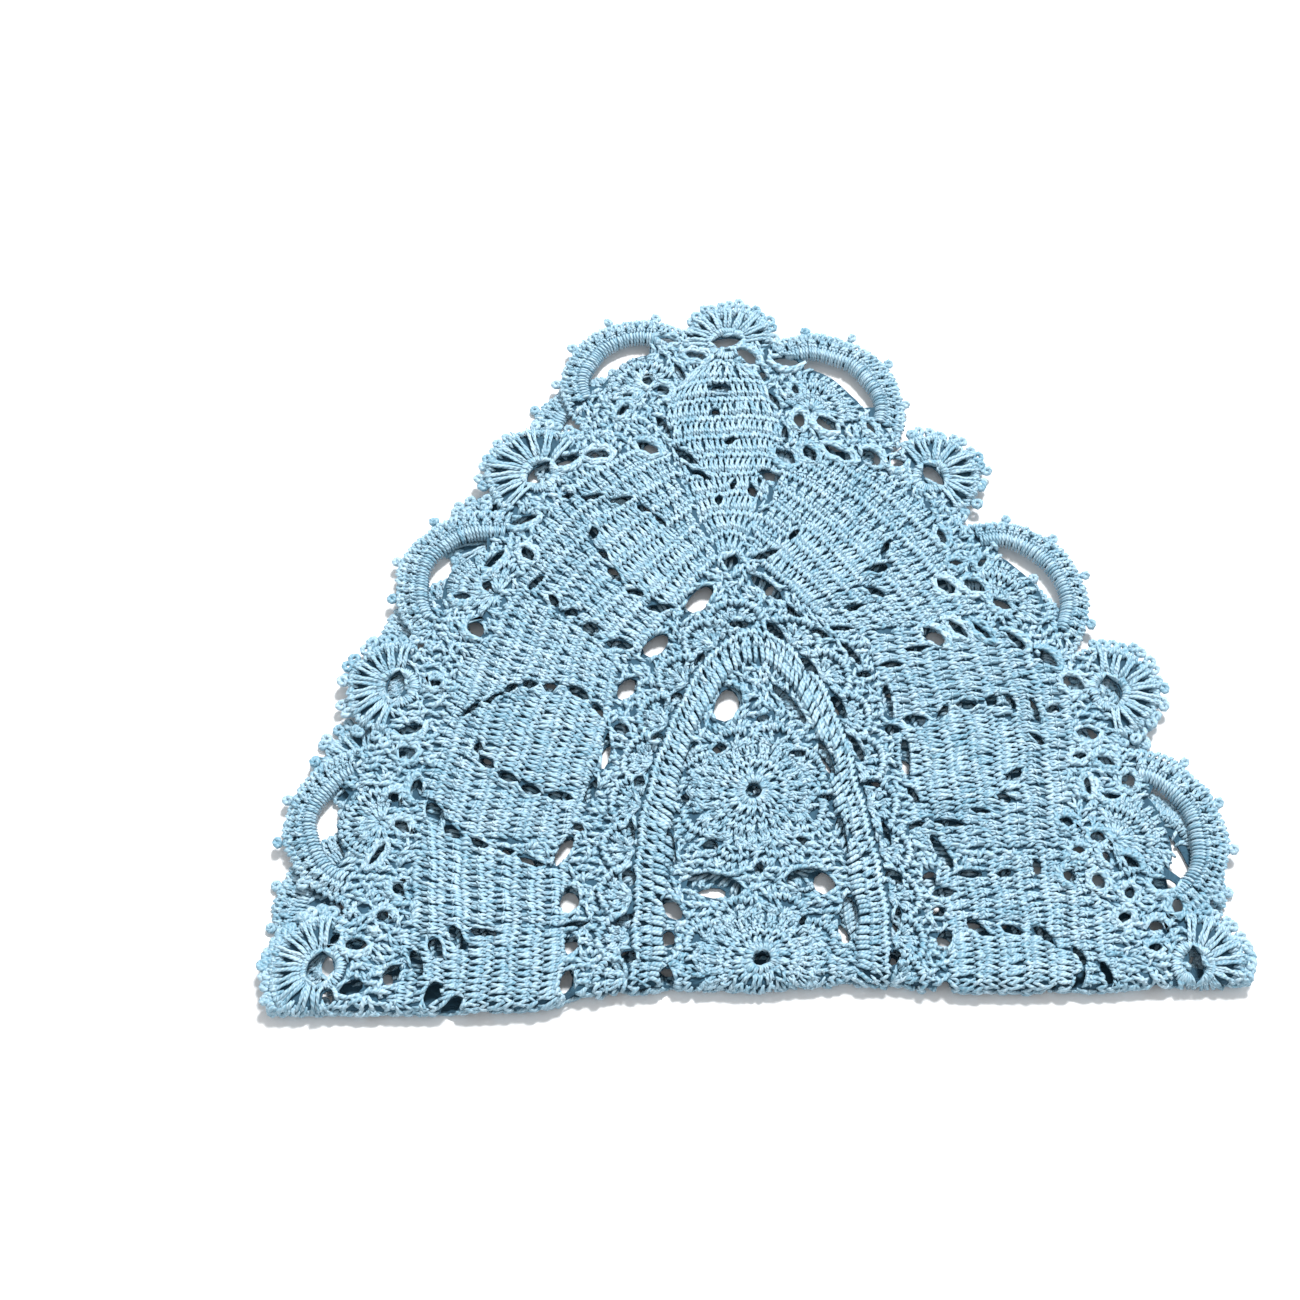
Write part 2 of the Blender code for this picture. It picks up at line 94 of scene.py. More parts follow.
def lay(plan, height=0.0):
    """Metres in the folded doily of a flat place, and height above the cloth's middle."""
    x, y = np.moveaxis(np.asarray(plan, float), -1, 0)
    stray_x = STRAY_SLOW * np.sin(y / 13 + 0.4 * np.sin(x / 9))
    stray_y = STRAY_SLOW * np.sin(x / 11)
    quick_x = STRAY_QUICK * np.sin(y / 3.1 + 1.3 * np.sin(x / 4.3))
    quick_y = STRAY_QUICK * np.sin(x / 3.4 + 1.1 * np.sin(y / 4.7))
    plan = np.stack([x + stray_x + quick_x, y + stray_y + quick_y], axis=-1)
    height = np.broadcast_to(height, plan.shape[:-1])
    s = past_bend(plan)
    height = height * (1 - FOLD_PRESS * np.exp(-((s / FOLD_PRESS_REACH) ** 2)))
    away = s - BEND
    foot = plan - away[..., None] * FOLD_OUT
    turn = np.clip(s, -BEND, BEND) / FOLD_RADIUS
    out = -(FOLD_RADIUS + height) * np.cos(turn)
    out = np.where(s > BEND, away, np.where(s < -BEND, -s - BEND, out))
    z = THICK / 2 + FOLD_RADIUS + (FOLD_RADIUS + height) * np.sin(turn)
    near = np.exp(-((np.maximum(away, 0) / SPRING_REACH) ** 2))
    spring = (2 * FOLD_RADIUS - THICK - REST_GAP) * near
    wave_x, wave_y = plan[..., 0] / WAVE_X * math.pi, plan[..., 1] / WAVE_Y * math.pi
    wave = 1 + 0.5 * np.sin(wave_x) + 0.5 * np.cos(wave_y)
    high = THICK * 1.5 + REST_GAP + spring + WAVE_HEIGHT * (1 - near) * wave + height
    z = np.where(s > BEND, high, np.where(s < -BEND, THICK / 2 - height, z))
    z = np.maximum(z, LOWEST_MIDDLE)
    x, y = np.moveaxis(foot + out[..., None] * FOLD_OUT, -1, 0)
    inward = np.interp(x, PULLS[:, 0], PULLS[:, 1])
    behind = np.maximum(y - FOLD_EDGE_Y - FOLD_SLOPE * x, 0)
    y = y + inward * np.exp(-((behind / PULL_REACH) ** 2))
    return np.stack([x - PLAN_CENTRE[0], y - PLAN_CENTRE[1], z], axis=-1) * MM


def mirrored(plan):
    plan = np.array(plan, float)
    plan[..., 1] = 2 * AXIS_Y - plan[..., 1]
    return plan


Fan = namedtuple("Fan", "x y facing radius hub")
FANS = (
    Fan(-136, 5, 180, 22, 8.6),
    Fan(-119, 104, 168, 22, 5.6),
    Fan(-73, 191, 143, 24, 5.6),
    Fan(-5, 249, 92, 21, 5.0),
    Fan(66, 190, 32, 22, 5.6),
    Fan(120, 104, 5, 21.5, 5.6),
    Fan(136, 6, 0, 21.5, 5.0),
)
Arc = namedtuple("Arc", "x y facing inner outer")
ARCS = (
    Arc(-123, 54, 178, 19, 30),
    Arc(-89, 144, 146, 21.5, 33),
    Arc(-36, 230, 133, 19.5, 30.5),
    Arc(27, 220, 52, 22, 33.5),
    Arc(87, 139, 36, 22, 32),
    Arc(121, 50, 8, 22, 34),
)
ROSETTE_X, ROSETTE_YS = 1.0, (5.0, 66.0)
# Cloth left between openings, and between the valleys of the edge and the next scallop.
BRIDGE, VALLEY_BRIDGE = 1.0, 2.0
LARGE_HOLE, LARGE_GROWTH = 2.2, 0.25
ARC_INSET, FAN_INSET = 2.6, 6.0


def middle(motif, ahead=0.0):
    """The centre of a fan, arc or leaf, or a place so far in front of it."""
    return np.array([motif.x, motif.y]) + unit(motif.facing) * ahead


def border(arc_inset, fan_inset):
    """The circles of the scalloped edge, clockwise from the left end."""
    upper = [(middle(FANS[0]), FANS[0].radius - fan_inset)]
    for arc, fan in zip(ARCS, FANS[1:]):
        upper.append((middle(arc), arc.outer - arc_inset))
        upper.append((middle(fan), fan.radius - fan_inset))
    return upper + [(mirrored(centre), radius) for centre, radius in upper[-2:0:-1]]


def meeting(a, reach_a, b, reach_b):
    """Where two neighbouring circles cross, on the outer side."""
    far = lengths(b - a)
    ahead = (b - a) / far
    along = (far**2 + reach_a**2 - reach_b**2) / (2 * far)
    aside = math.sqrt(max(reach_a**2 - along**2, 0))
    return a + ahead * along + left_of(ahead) * aside


def outline(arc_inset, fan_inset, step=2.0):
    """The scalloped edge, clockwise from the left end, with the valleys bridged."""
    circles = border(arc_inset, fan_inset)
    count = len(circles)
    valleys = [meeting(*circles[i - 1], *circles[i]) for i in range(count)]
    points = []
    for i, (centre, radius) in enumerate(circles):
        start, end = valleys[i] - centre, valleys[(i + 1) % count] - centre
        first = math.degrees(math.atan2(start[1], start[0]))
        turn = (first - math.degrees(math.atan2(end[1], end[0]))) % 360
        ring = centre + unit(first - np.arange(0, turn, math.degrees(step / radius))) * radius
        beside = (circles[i - 1], circles[(i + 1) % count])
        keep = [lengths(ring - c) > r + VALLEY_BRIDGE for c, r in beside]
        points.append(ring[np.all(keep, axis=0)])
    return np.vstack(points)


def within(points, polygon):
    """Which points lie inside a polygon."""
    x, y = points[:, 0], points[:, 1]
    odd = np.zeros(len(points), bool)
    for (ax, ay), (bx, by) in zip(polygon, np.roll(polygon, -1, axis=0)):
        if ay != by:
            odd ^= ((ay > y) != (by > y)) & (x < (bx - ax) * (y - ay) / (by - ay) + ax)
    return odd


def in_openings(points, holes, margin=0.0):
    """Which points lie in an opening or nearer than margin to it, a large opening reaching further."""
    hit = np.zeros(len(points), bool)
    for hole in holes:
        out = hole - hole.mean(0)
        away = lengths(out)
        grow = margin + LARGE_GROWTH * max(0.0, away.min() - LARGE_HOLE) * (margin > 0.5)
        close = lengths(points - hole.mean(0)) < away.max() + grow
        if close.any():
            hit[close] |= within(points[close], hole + out / away[:, None] * grow)
    return hit


# Every opening of the upper half, charted: its middle, length, width and angle.
ROSETTE_GAPS = (
    (-8, 99, 14, 9, 75), (12.5, 98, 18, 4.2, -53), (25, 77.5, 14, 3.6, -66), (29.2, 50, 13, 3.4, -86),
    (18, 33.4, 16, 9.6, -14), (28.6, 18.5, 20, 6, 85), (-13.5, 33.4, 18, 9.6, -8), (-27, 46, 14, 4, 85),
    (-21.3, 64, 4.4, 3.4, 70), (-20.5, 80, 10, 2.4, 68), (-27.5, 25, 9, 6, -60),
    (-28, 12.5, 8, 4.6, 85), (-10.5, 82, 5, 3.8, 20), (-14, 47.5, 5, 4.2, 10), (16, 48, 3.6, 3, 0),
    (24.5, 63, 4, 2.8, 0), (3.8, 92.5, 4.4, 3.6, 20), (1.5, 38, 4.4, 3, 90), (15, 79.5, 6, 2.4, 5),
    (14.5, 19, 3.4, 2.6, 60),
)
BAND_GAPS = (
    (-41, 5, 5, 5, 70), (-42.5, 20, 8, 3.6, 35), (-40.2, 35, 6, 5, 85), (-39, 51, 9, 2.6, 85),
    (-36.8, 69, 5.4, 3.8, 60), (-31.8, 86, 5.4, 3.8, 45), (-25.5, 102, 5, 4, 50),
    (-17.5, 116, 6, 2.6, 55), (-3, 129.5, 8, 3.4, -8), (9.5, 126, 8, 4.6, -55),
    (20, 112.5, 8, 3.8, -58), (29, 97, 9, 3.8, -60), (35, 82, 10, 3.2, -66), (40.5, 69, 5, 2.8, 0),
    (43.4, 52, 9, 2.4, -84), (44.4, 36, 6, 5, -50), (44.4, 20.5, 10, 3, 86), (43, 5.5, 6, 4, 65),
)
SHELL_GAPS = (
    (-60, 27, 9, 6.5, 85), (-57.5, 18.2, 8, 3, 0), (-59, 11.5, 8, 4.6, 88), (-61.5, 44.5, 12, 4.4, 62),
    (-56, 52.3, 4, 3, 0), (-52.5, 66, 10, 3, 65), (-48.3, 81, 14, 2.6, 84), (-43.5, 89, 5, 4, -20),
    (-42, 104, 10, 5.6, 58), (-32, 121, 13, 6, 52), (-16.5, 139, 15, 7, 52), (-4.5, 154.5, 6, 5, 80),
    (7.5, 143, 15, 4.6, -48), (16.8, 133, 7, 3, -50), (34, 118, 10, 3.2, -52), (38.5, 110, 5, 3.4, 10),
    (24.5, 124.5, 6, 4, -20), (32.5, 127.4, 8, 2.4, 8), (57, 120.5, 9, 2.4, 4), (48, 113.8, 8, 2.8, 0),
    (45.8, 100, 13, 3.4, -78), (46.8, 89.2, 5, 4, 0), (51.2, 79, 14, 3, -84), (53, 66, 6, 3, -60),
    (61, 45, 13, 4, -66), (56, 36, 6, 4.6, 80), (60.2, 31, 7, 4, 0), (57.5, 24, 4.6, 4, 50),
    (59, 14, 8, 5, 80),
)
PANEL_GAPS = (
    (-86.5, 18, 9, 3.2, -12), (-95, 16, 9, 4.4, -52), (-101.5, 12, 7, 5, -60), (-107.5, 7, 9, 4, -68),
    (-114.5, 3, 7, 5, 75), (-72, 41.3, 9, 2.6, -22), (-79.8, 44.8, 4.4, 2.8, 0),
    (-88.5, 48.5, 6, 3, -32), (-97, 52, 6.4, 4, -38), (-103.5, 58, 9, 5.4, -62),
    (-94.5, 97, 8, 2.4, 48), (-87, 101.3, 7, 2.6, 35), (-81, 104.8, 5, 3.4, 30),
    (-74.6, 106, 4.6, 3.6, 0), (-68, 105, 4.6, 4, 0), (-58.5, 102, 8, 3.4, -35),
    (-51.8, 96, 6, 2.4, -55), (-91, 83, 4.4, 3.2, 90), (-87, 77.3, 6.4, 3.6, -40),
    (-79.6, 71.5, 6.6, 4, -25), (-72, 67.3, 6.6, 4, -28), (-62.5, 63.8, 9, 3.8, -15),
    (-72, 146, 8, 3, 50), (-66.5, 138.8, 6.4, 3.2, -50), (-60, 132.8, 5, 4, 0),
    (-53.5, 126.8, 6.4, 5.6, 0), (-44, 120.6, 9, 4, -15), (-55, 180.5, 8, 2.8, 15), (-64, 181, 4, 3, 0),
    (-45, 179.4, 8.4, 3.2, 8), (-36.5, 176, 6, 3, -20), (-30, 171.4, 6, 2.8, -40),
    (-53.6, 165, 5, 4, 80), (-50.2, 157, 4.4, 2.6, -40), (-45.3, 149, 7, 3.2, -48),
    (-38, 141.5, 7, 2.6, -18), (-29.5, 136, 9, 3.4, 8), (-7, 228.5, 7, 5.4, 10),
    (-5, 205.5, 4.4, 3.4, 30), (-9.5, 219, 3, 2.6, 0), (-28, 212, 11, 3.4, -66),
    (-21.5, 199.5, 10, 4, -46), (-16, 191, 8, 2.6, -28), (-22.5, 236, 9, 3.6, -68),
    (8, 233.5, 5, 2.6, -70), (12.3, 222.5, 8, 2.6, -66), (15.5, 207.5, 8, 2.6, 80),
    (-5, 186.5, 4, 3, 30), (2, 183, 5, 4, 90), (-10, 180, 4.6, 4, 90), (9, 189.5, 8, 4, -8),
    (16.5, 165, 5.4, 3, 52), (49, 160, 6, 2.4, 75), (47, 151.8, 7, 4, 28), (44.5, 142.5, 7.4, 3.2, -28),
    (37.5, 136, 7, 2.4, 22), (6.5, 156.3, 9, 3.4, 22), (54.8, 93.2, 7, 6, 0), (63.8, 95.5, 6, 3.6, 65),
    (72, 98, 7.4, 4.2, 0), (80.3, 99.3, 4.4, 3.6, 90), (86.8, 98.5, 6, 2.6, -62), (95, 96, 9, 2.8, -68),
    (101.5, 96.5, 4.4, 4.4, 0), (95, 85, 6, 2.8, -42), (87.3, 71.2, 6, 4.4, 45),
    (83, 63.3, 5, 3.4, -20), (75.5, 59, 6, 2.4, -8), (64.5, 55.3, 11, 2.8, -12), (54, 54.6, 6, 2.8, 25),
    (69.8, 37, 8, 3, 0), (80.5, 37, 4.4, 3, 0), (90.5, 38.5, 5, 2.8, 90), (69.5, 18, 9.4, 4, -42),
    (80.5, 17, 6.6, 3.6, -22), (90.5, 15, 9.6, 3.4, -45), (101, 9, 7, 2.8, -62),
    (109, 3.5, 8, 2.8, -68),
)
NET_GAPS = (
    (-113.5, 53.5, 5.4, 4, 0), (-122, 42.5, 9, 3, 55), (-115, 31, 4.4, 4, 0), (-119, 22, 4.4, 3.2, 0),
    (-133, 36.5, 7.5, 5, 80), (-129.5, 26.5, 9, 5, 84), (-136.8, 23, 5.4, 3.4, 70),
    (-133, 14.5, 4.4, 3.2, 80), (-126.5, 11.8, 7, 4.4, -10), (-110, 67, 7, 4, 80),
    (-117, 64, 4, 3.2, 0), (-114, 88, 9, 4, 22), (-126, 83.5, 8, 3.8, 58), (-114, 79.5, 6, 5, 0),
    (-106.5, 106, 5, 3.6, 0), (-110.5, 124, 4, 3.2, 60), (-120, 121, 4.4, 3.2, 80),
    (-93, 128, 5.6, 5.6, 0), (-98, 139.5, 6, 3.2, 0), (-90, 145, 4.4, 3.4, 90), (-87, 155, 8.4, 4, 48),
    (-76, 157.5, 6, 4.4, -50), (-78, 171, 9, 4, 18), (-89.5, 167.5, 4.4, 3.2, 40),
    (-64, 196.4, 9, 5.4, 12), (-52.5, 198.5, 9.6, 4.4, 8), (-34.5, 202, 8, 5, -30),
    (-43, 218, 6.4, 3.6, 50), (-35, 216.5, 7, 5, -20), (-41, 225, 3.6, 3, 0), (-27.5, 228, 5, 4.6, 0),
    (-34, 231.5, 4.4, 4, 0), (-27, 251, 8, 3, -12), (-16, 243.8, 8, 4, -8), (2.5, 243, 9, 4.4, -38),
    (14.5, 246.5, 5, 3, -30), (16.5, 239.5, 10, 4.4, -14), (20, 227, 5, 3.2, 90),
    (21.3, 213, 6.6, 4.4, 88), (30.3, 212, 7.6, 5, -45), (46.5, 211, 5.6, 3.2, -70),
    (54.5, 206.5, 8, 4, -28), (14.5, 197.5, 8.6, 5.4, -42), (23.4, 199, 7, 4.4, -62),
    (33.5, 199.5, 10.5, 4.8, -28), (45.5, 198.3, 8.4, 5.4, -55), (54.2, 196, 5, 4.4, 0),
    (66, 184.5, 5.4, 4, 35), (78.5, 184, 9, 3.2, -40), (73.5, 175, 8, 3.2, -56),
    (78.5, 167, 9, 3.2, -58), (68.3, 164, 7, 3.2, -76), (73.5, 153.5, 5.4, 3.2, 0),
    (82.5, 153, 4.4, 3.2, 60), (69.5, 143.5, 8, 4.4, -48), (79, 144, 7.6, 5.4, -25),
    (87.5, 136, 7, 3.8, -38), (64, 124.5, 8.6, 4.6, -52), (72, 127, 8, 4, -48), (80, 126, 9, 3.2, -52),
    (91.3, 122, 8, 3.2, -50), (101.5, 116, 8, 4, -50), (108.5, 106.5, 7.6, 6, -30),
    (112, 87, 6.6, 5, 0), (122.5, 86, 4.4, 3.2, -30), (109, 79.5, 4.4, 3.2, 0),
    (117, 77.5, 6.4, 3.4, -20), (124, 70.5, 6, 4.6, 80), (111, 68, 6.4, 3.2, 88), (118, 65, 5, 3, 0),
    (103, 55.5, 5, 4, 0), (112.5, 50, 5.4, 4.6, 0), (105, 45.5, 4.4, 3.4, 0), (113.3, 43, 3.6, 3.6, 0),
    (122, 42, 6, 3.2, -40), (100.5, 36, 4.4, 4, 0), (110, 34, 5, 5, 0), (131, 33, 8, 4.4, 0),
    (133.5, 25.5, 5.4, 4, 80), (126.5, 20, 4.4, 3.6, 0), (125, 12, 4.4, 3.6, 0), (116, 22, 5, 3.6, 30),
    (119.5, 31, 5, 3.6, 60),
)
NET_LONGER, NET_WIDER = 1.1, 1.22
# Openings under which the lower half is open too, so that what lies below shows, and how far
# towards the fold the slanting view moves them.
CLEAR = (
    (-8, 98, 13, 10, -75), (-14, 28.6, 10, 5, 0), (12, 28.6, 9, 5, 0), (23, 34, 9, 8, 50),
    (-60, 27, 8, 8, 0), (-59, 11, 8, 6, 0), (-61.5, 44.5, 11, 6, -62), (-55, 52, 6, 5, 0),
    (-42, 104, 10, 8, -58), (-32, 121, 12, 8, -52), (-17, 139, 13, 9, -52), (-26, 22, 9, 7, 60),
    (-28, 12, 8, 6, 0), (27, 11, 15, 7, -85), (57, 24, 6, 6, 0), (56, 37, 6, 6, 0), (-114, 88, 9, 7, 0),
    (-133, 36, 7, 6, 0), (-129, 27, 9, 7, 0), (-93, 128, 8, 8, 0), (-64, 195, 9, 7, 0),
    (-33, 201, 8, 6, 0), (134, 8, 8, 7, 0), (113, 43, 6, 6, 0), (105, 45, 5, 5, 0), (66, 185, 6, 6, 0),
    (64, 124, 7, 6, 0), (91, 38, 5, 5, 0), (100, 36, 5.5, 5.5, 0),
)
SIGHT = 1.8
# Openings nearer than this to the oval's axis have no mirror image.
ON_AXIS = 1.5
OVAL_POINTS = 10
ROSETTE_HOLE = 5.0
# The crescent inside each padded arc: half its turn, its width, how it narrows, and its lip.
CRESCENT_TURN, CRESCENT_WIDE, CRESCENT_TAPER, CRESCENT_LIP = 50, 7.6, 0.85, 0.4
HUB_AHEAD, HUB_ACROSS = 1.2, 10.5


def oval(x, y, length, width, angle=0.0):
    t = np.linspace(0, 2 * math.pi, OVAL_POINTS, endpoint=False) + math.pi / OVAL_POINTS
    along = np.outer(np.cos(t) * length / 2, unit(angle))
    return np.array([x, y]) + along + np.outer(np.sin(t) * width / 2, unit(angle + 90))


def upper_openings():
    found = [oval(ROSETTE_X, y, ROSETTE_HOLE, ROSETTE_HOLE) for y in ROSETTE_YS]
    wide = CRESCENT_WIDE * np.cos(np.linspace(-CRESCENT_TAPER, CRESCENT_TAPER, 9))
    for arc in ARCS:
        turns = arc.facing + np.linspace(-CRESCENT_TURN, CRESCENT_TURN, 9)
        outer = middle(arc) + unit(turns) * (arc.inner + CRESCENT_LIP)
        inner = middle(arc) + unit(turns[::-1]) * (arc.inner - wide)[:, None]
        found.append(np.vstack([outer, inner]))
    for fan in FANS:
        found.append(oval(*middle(fan, HUB_AHEAD), HUB_ACROSS, fan.hub, fan.facing + 90))
    for group in (ROSETTE_GAPS, BAND_GAPS, SHELL_GAPS, PANEL_GAPS):
        found += [oval(*gap) for gap in group]
    for x, y, length, width, angle in NET_GAPS:
        found.append(oval(x, y, length * NET_LONGER, width * NET_WIDER, angle))
    return found


def clear_openings(wanted, edge):
    """Those openings that keep cloth between them and inside the edge, the first ones first."""
    kept, centres, reaches = [], np.empty((0, 2)), np.empty(0)
    for hole in wanted:
        centre = hole.mean(0)
        reach = lengths(hole - centre).max()
        close = lengths(centres - centre) < reaches + reach + BRIDGE
        near = [kept[i] for i in np.nonzero(close)[0]]
        if not within(hole, edge).all() or any(
            in_openings(hole, [other], BRIDGE).any() or in_openings(other, [hole], BRIDGE).any()
            for other in near
        ):
            continue
        kept.append(hole)
        centres = np.vstack([centres, centre])
        reaches = np.r_[reaches, reach]
    return kept


def beneath(place):
    """The flat place in the lower half that lies under one in the upper half."""
    return np.asarray(place, float) - FOLD_OUT * 2 * past_bend(place)


edge = outline(ARC_INSET, FAN_INSET)
wanted = [oval(*beneath((x, y + SIGHT)), *rest) for x, y, *rest in CLEAR]
for hole in upper_openings():
    on_axis = abs(hole.mean(0)[1] - AXIS_Y) < ON_AXIS
    wanted += [hole] if on_axis else [hole, mirrored(hole)[::-1]]
openings = clear_openings(wanted, edge)

SHEET_HALF = 0.35
# The sheet bends along seven lines, and is wavy enough on a grid of 9 mm.
BEND_SHARES, BEND_POINTS = np.arange(7) / 6, np.arange(-168, 169, 7.0)
GRID_X, GRID_Y = np.arange(-156, 157, 9.0), np.arange(-262, 272, 9.0)
GRID_CLEAR, BEND_CLEAR = 1.5, 3.0


def lattice(across, along):
    return np.stack(np.meshgrid(across, along), axis=-1)


def ground_in_painted_shade(edge, holes):
    """A thin sheet cut through at the openings, and its flat area in square metres."""
    points, lines = [], []

    def add(ring, closed=True):
        first = len(points)
        points.extend(Vector(p) for p in ring)
        last = len(points) - 1
        lines.extend((i, i + 1) for i in range(first, last))
        if closed:
            lines.append((last, first))

    for ring in [edge, *holes]:
        add(ring)
    for share in BEND_SHARES:
        foot = FOLD_START + FOLD_OUT * (2 * BEND * share - 2 * BEND)
        add(foot + np.outer(BEND_POINTS, FOLD_AHEAD), closed=False)
    grid = lattice(GRID_X, GRID_Y).reshape(-1, 2)
    grid = grid[within(grid, edge) & ~in_openings(grid, holes, GRID_CLEAR)]
    points.extend(Vector(p) for p in grid[np.abs(past_bend(grid)) > BEND + BEND_CLEAR])
    places, _, faces, _, _, _ = delaunay_2d_cdt(points, lines, [], 0, 1e-4)
    places, faces = np.array([tuple(p) for p in places]), np.array(faces)
    inner = places[faces].mean(1)
    faces = faces[within(inner, edge) & ~in_openings(inner, holes)]
    used, faces = np.unique(faces, return_inverse=True)
    places, faces = places[used], faces.reshape(-1, 3)
    count = len(places)
    sides = np.vstack([faces[:, [0, 1]], faces[:, [1, 2]], faces[:, [2, 0]]]).tolist()
    there = {tuple(side) for side in sides}
    walls = [(b, a, a + count, b + count) for a, b in sides if (b, a) not in there]
    verts = np.vstack([lay(places, SHEET_HALF), lay(places, -SHEET_HALF)])
    (ax, ay), (bx, by) = (places[faces[:, k]].T - places[faces[:, 0]].T for k in (1, 2))
    mesh = bpy.data.meshes.new("ground")
    mesh.from_pydata(verts.tolist(), [], faces.tolist() + (faces[:, ::-1] + count).tolist() + walls)
    mesh.update()
    return mesh, 0.5 * np.abs(ax * by - ay * bx).sum() * MM**2


ground_mesh, ground_area = ground_in_painted_shade(edge, openings)
ground = bpy.data.objects.new("ground_in_painted_shade", ground_mesh)
bpy.context.scene.collection.objects.link(ground)


class Finish:
    """A material whose nodes are added one call at a time."""

    def __init__(self, name):
        self.material = bpy.data.materials.new(name)
        self.material.use_nodes = True
        self.tree = self.material.node_tree

    def plug(self, node, values):
        """Sets each named input of a node, or links it to another node's output."""
        for name, value in values.items():
            if isinstance(value, bpy.types.NodeSocket):
                self.tree.links.new(value, node.inputs[name])
            else:
                node.inputs[name].default_value = value

    def node(self, kind, inputs=(), settings=(), output=0):
        node = self.tree.nodes.new("ShaderNode" + kind)
        for name, value in dict(settings).items():
            setattr(node, name, value)
        self.plug(node, dict(inputs))
        return node.outputs[output]

    def total(self, start, *terms):
        """A number or shader value, plus others, each times its weight."""
        for value, weight in terms:
            start = self.node("Math", {0: value, 1: weight, 2: start}, {"operation": "MULTIPLY_ADD"})
        return start

    def surface(self, values):
        self.plug(self.tree.nodes["Principled BSDF"], values)
        return self.material


PLY_PITCH = 1.7
BLOTCH_SCALE, SPECK_SCALE = 60.0, 1100.0
# The ground sheet's colours: a dark cotton blue that is painted shade, the shadow between and under the
# stitches.
DARK_SHADE, DARK_LIGHT = (0.015, 0.062, 0.105, 1), (0.04, 0.125, 0.19, 1)


def yarn(name, shade, light, roughness):
    """Plied cotton: slanting plies along the strand, with painted shade in their furrows and painted
    highlight on their crests, and a slow change of tone at random.
    """
    finish = Finish(name)
    place = finish.node("TexCoord", output=3)
    blotch = finish.node("TexNoise", {"Vector": place, "Scale": BLOTCH_SCALE, "Detail": 3.0})
    speck = finish.node("TexNoise", {"Vector": place, "Scale": SPECK_SCALE, "Detail": 2.0})
    tone = finish.node("Attribute", (), {"attribute_name": "tone"}, 2)
    along, around, _ = finish.node("SeparateXYZ", {0: finish.node("UVMap")}).node.outputs
    slant = finish.total(0.0, (along, 2 * math.pi / PLY_PITCH), (around, 4 * math.pi))
    ply = finish.node("Math", {0: slant}, {"operation": "SINE"})
    # The ply term in the colour is painted shade in the furrows between plies and painted highlight on
    # their crests; blotch, speck and tone are the cotton's own uneven colour.
    mix = finish.total(-0.22, (blotch, 0.5), (speck, 0.45), (tone, 0.55), (ply, 0.16))
    furrows = finish.total(ply, (speck, 0.8))
    return finish.surface({
        "Base Color": finish.node("Mix", {0: mix, 6: shade, 7: light}, {"data_type": "RGBA"}, 2),
        "Roughness": roughness,
        "Specular IOR Level": 0.5,
        "Normal": finish.node("Bump", {"Strength": 0.5, "Distance": 0.0002, "Height": furrows}),
    })


# The sheet's dark cotton is painted shade, not the yarn's own colour.
ground_mesh.materials.append(yarn("cotton_in_shade", DARK_SHADE, DARK_LIGHT, 0.85))
ground_mesh.uv_layers.new(name="UVMap")
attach(ground, "root")
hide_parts("doily")

# ----------------------------------------------------------------------
# The stitches. Cotton of about 1.1 mm is worked over a hook, so rows of upright posts, leaning
# together in pairs, alternate with raised ridges of chain. A stitch fills one quadrilateral of
# the plan, from its foot to its head, and each of its strands is a closed tube of yarn.
YARN = 0.55
PAIRED = 0.18
chance = np.random.default_rng(12)

# Each strand: its thickness, then the places of its middle: across the stitch, from foot to
# head, and height in mm.
POST = (
    (1.0, ((0.24, -0.22, 0.2), (0.16, 0.20, 0.7), (0.46, 0.62, 1.1), (0.60, 1.12, 0.5))),
    (1.0, ((0.80, -0.22, 0.2), (0.74, 0.22, 0.8), (0.36, 0.66, 0.5), (0.24, 1.12, 0.3))),
    (0.8, ((-0.02, 0.52, 0.3), (0.30, 0.44, 1.3), (0.70, 0.56, 1.4), (1.02, 0.60, 0.4))),
)
RIDGE = (
    (1.10, ((-0.14, 0.04, 0.3), (0.08, 0.34, 0.9), (0.34, 0.72, 1.1), (0.56, 1.06, 0.4))),
    (1.10, ((1.10, -0.02, 0.3), (0.94, 0.30, 0.9), (0.70, 0.64, 1.0), (0.44, 0.98, 0.3))),
)
BAR = (
    (1.42, ((0.46, -0.12, 0.2), (0.40, 0.20, 1.0), (0.56, 0.66, 1.2), (0.52, 1.08, 0.4))),
)
KNOT = (
    (1.30, ((0.16, -0.10, 0.0), (0.30, 0.22, 0.9), (0.62, 0.60, 1.1), (0.86, 1.04, 0.1))),
    (1.24, ((0.96, 0.02, 0.0), (0.70, 0.30, 0.6), (0.40, 0.62, 0.6), (0.06, 0.90, 0.0))),
)
LONG = (
    (1.02, ((0.34, -0.06, 0.2), (0.26, 0.30, 1.2), (0.62, 0.70, 1.0), (0.70, 1.06, 0.6))),
    (1.02, ((0.66, -0.06, 0.2), (0.76, 0.30, 0.8), (0.40, 0.70, 1.4), (0.28, 1.06, 0.4))),
)
RAY = (
    (1.0, ((0.50, -0.06, 0.1), (0.46, 0.28, 0.9), (0.54, 0.66, 0.9), (0.50, 1.06, 0.4))),
)
CLOSE = (
    (1.08, ((0.20, -0.14, 0.2), (0.28, 0.24, 0.9), (0.56, 0.62, 1.1), (0.78, 1.08, 0.4))),
    (1.04, ((0.86, -0.14, 0.2), (0.74, 0.22, 0.8), (0.50, 0.52, 0.7), (0.24, 1.02, 0.3))),
)
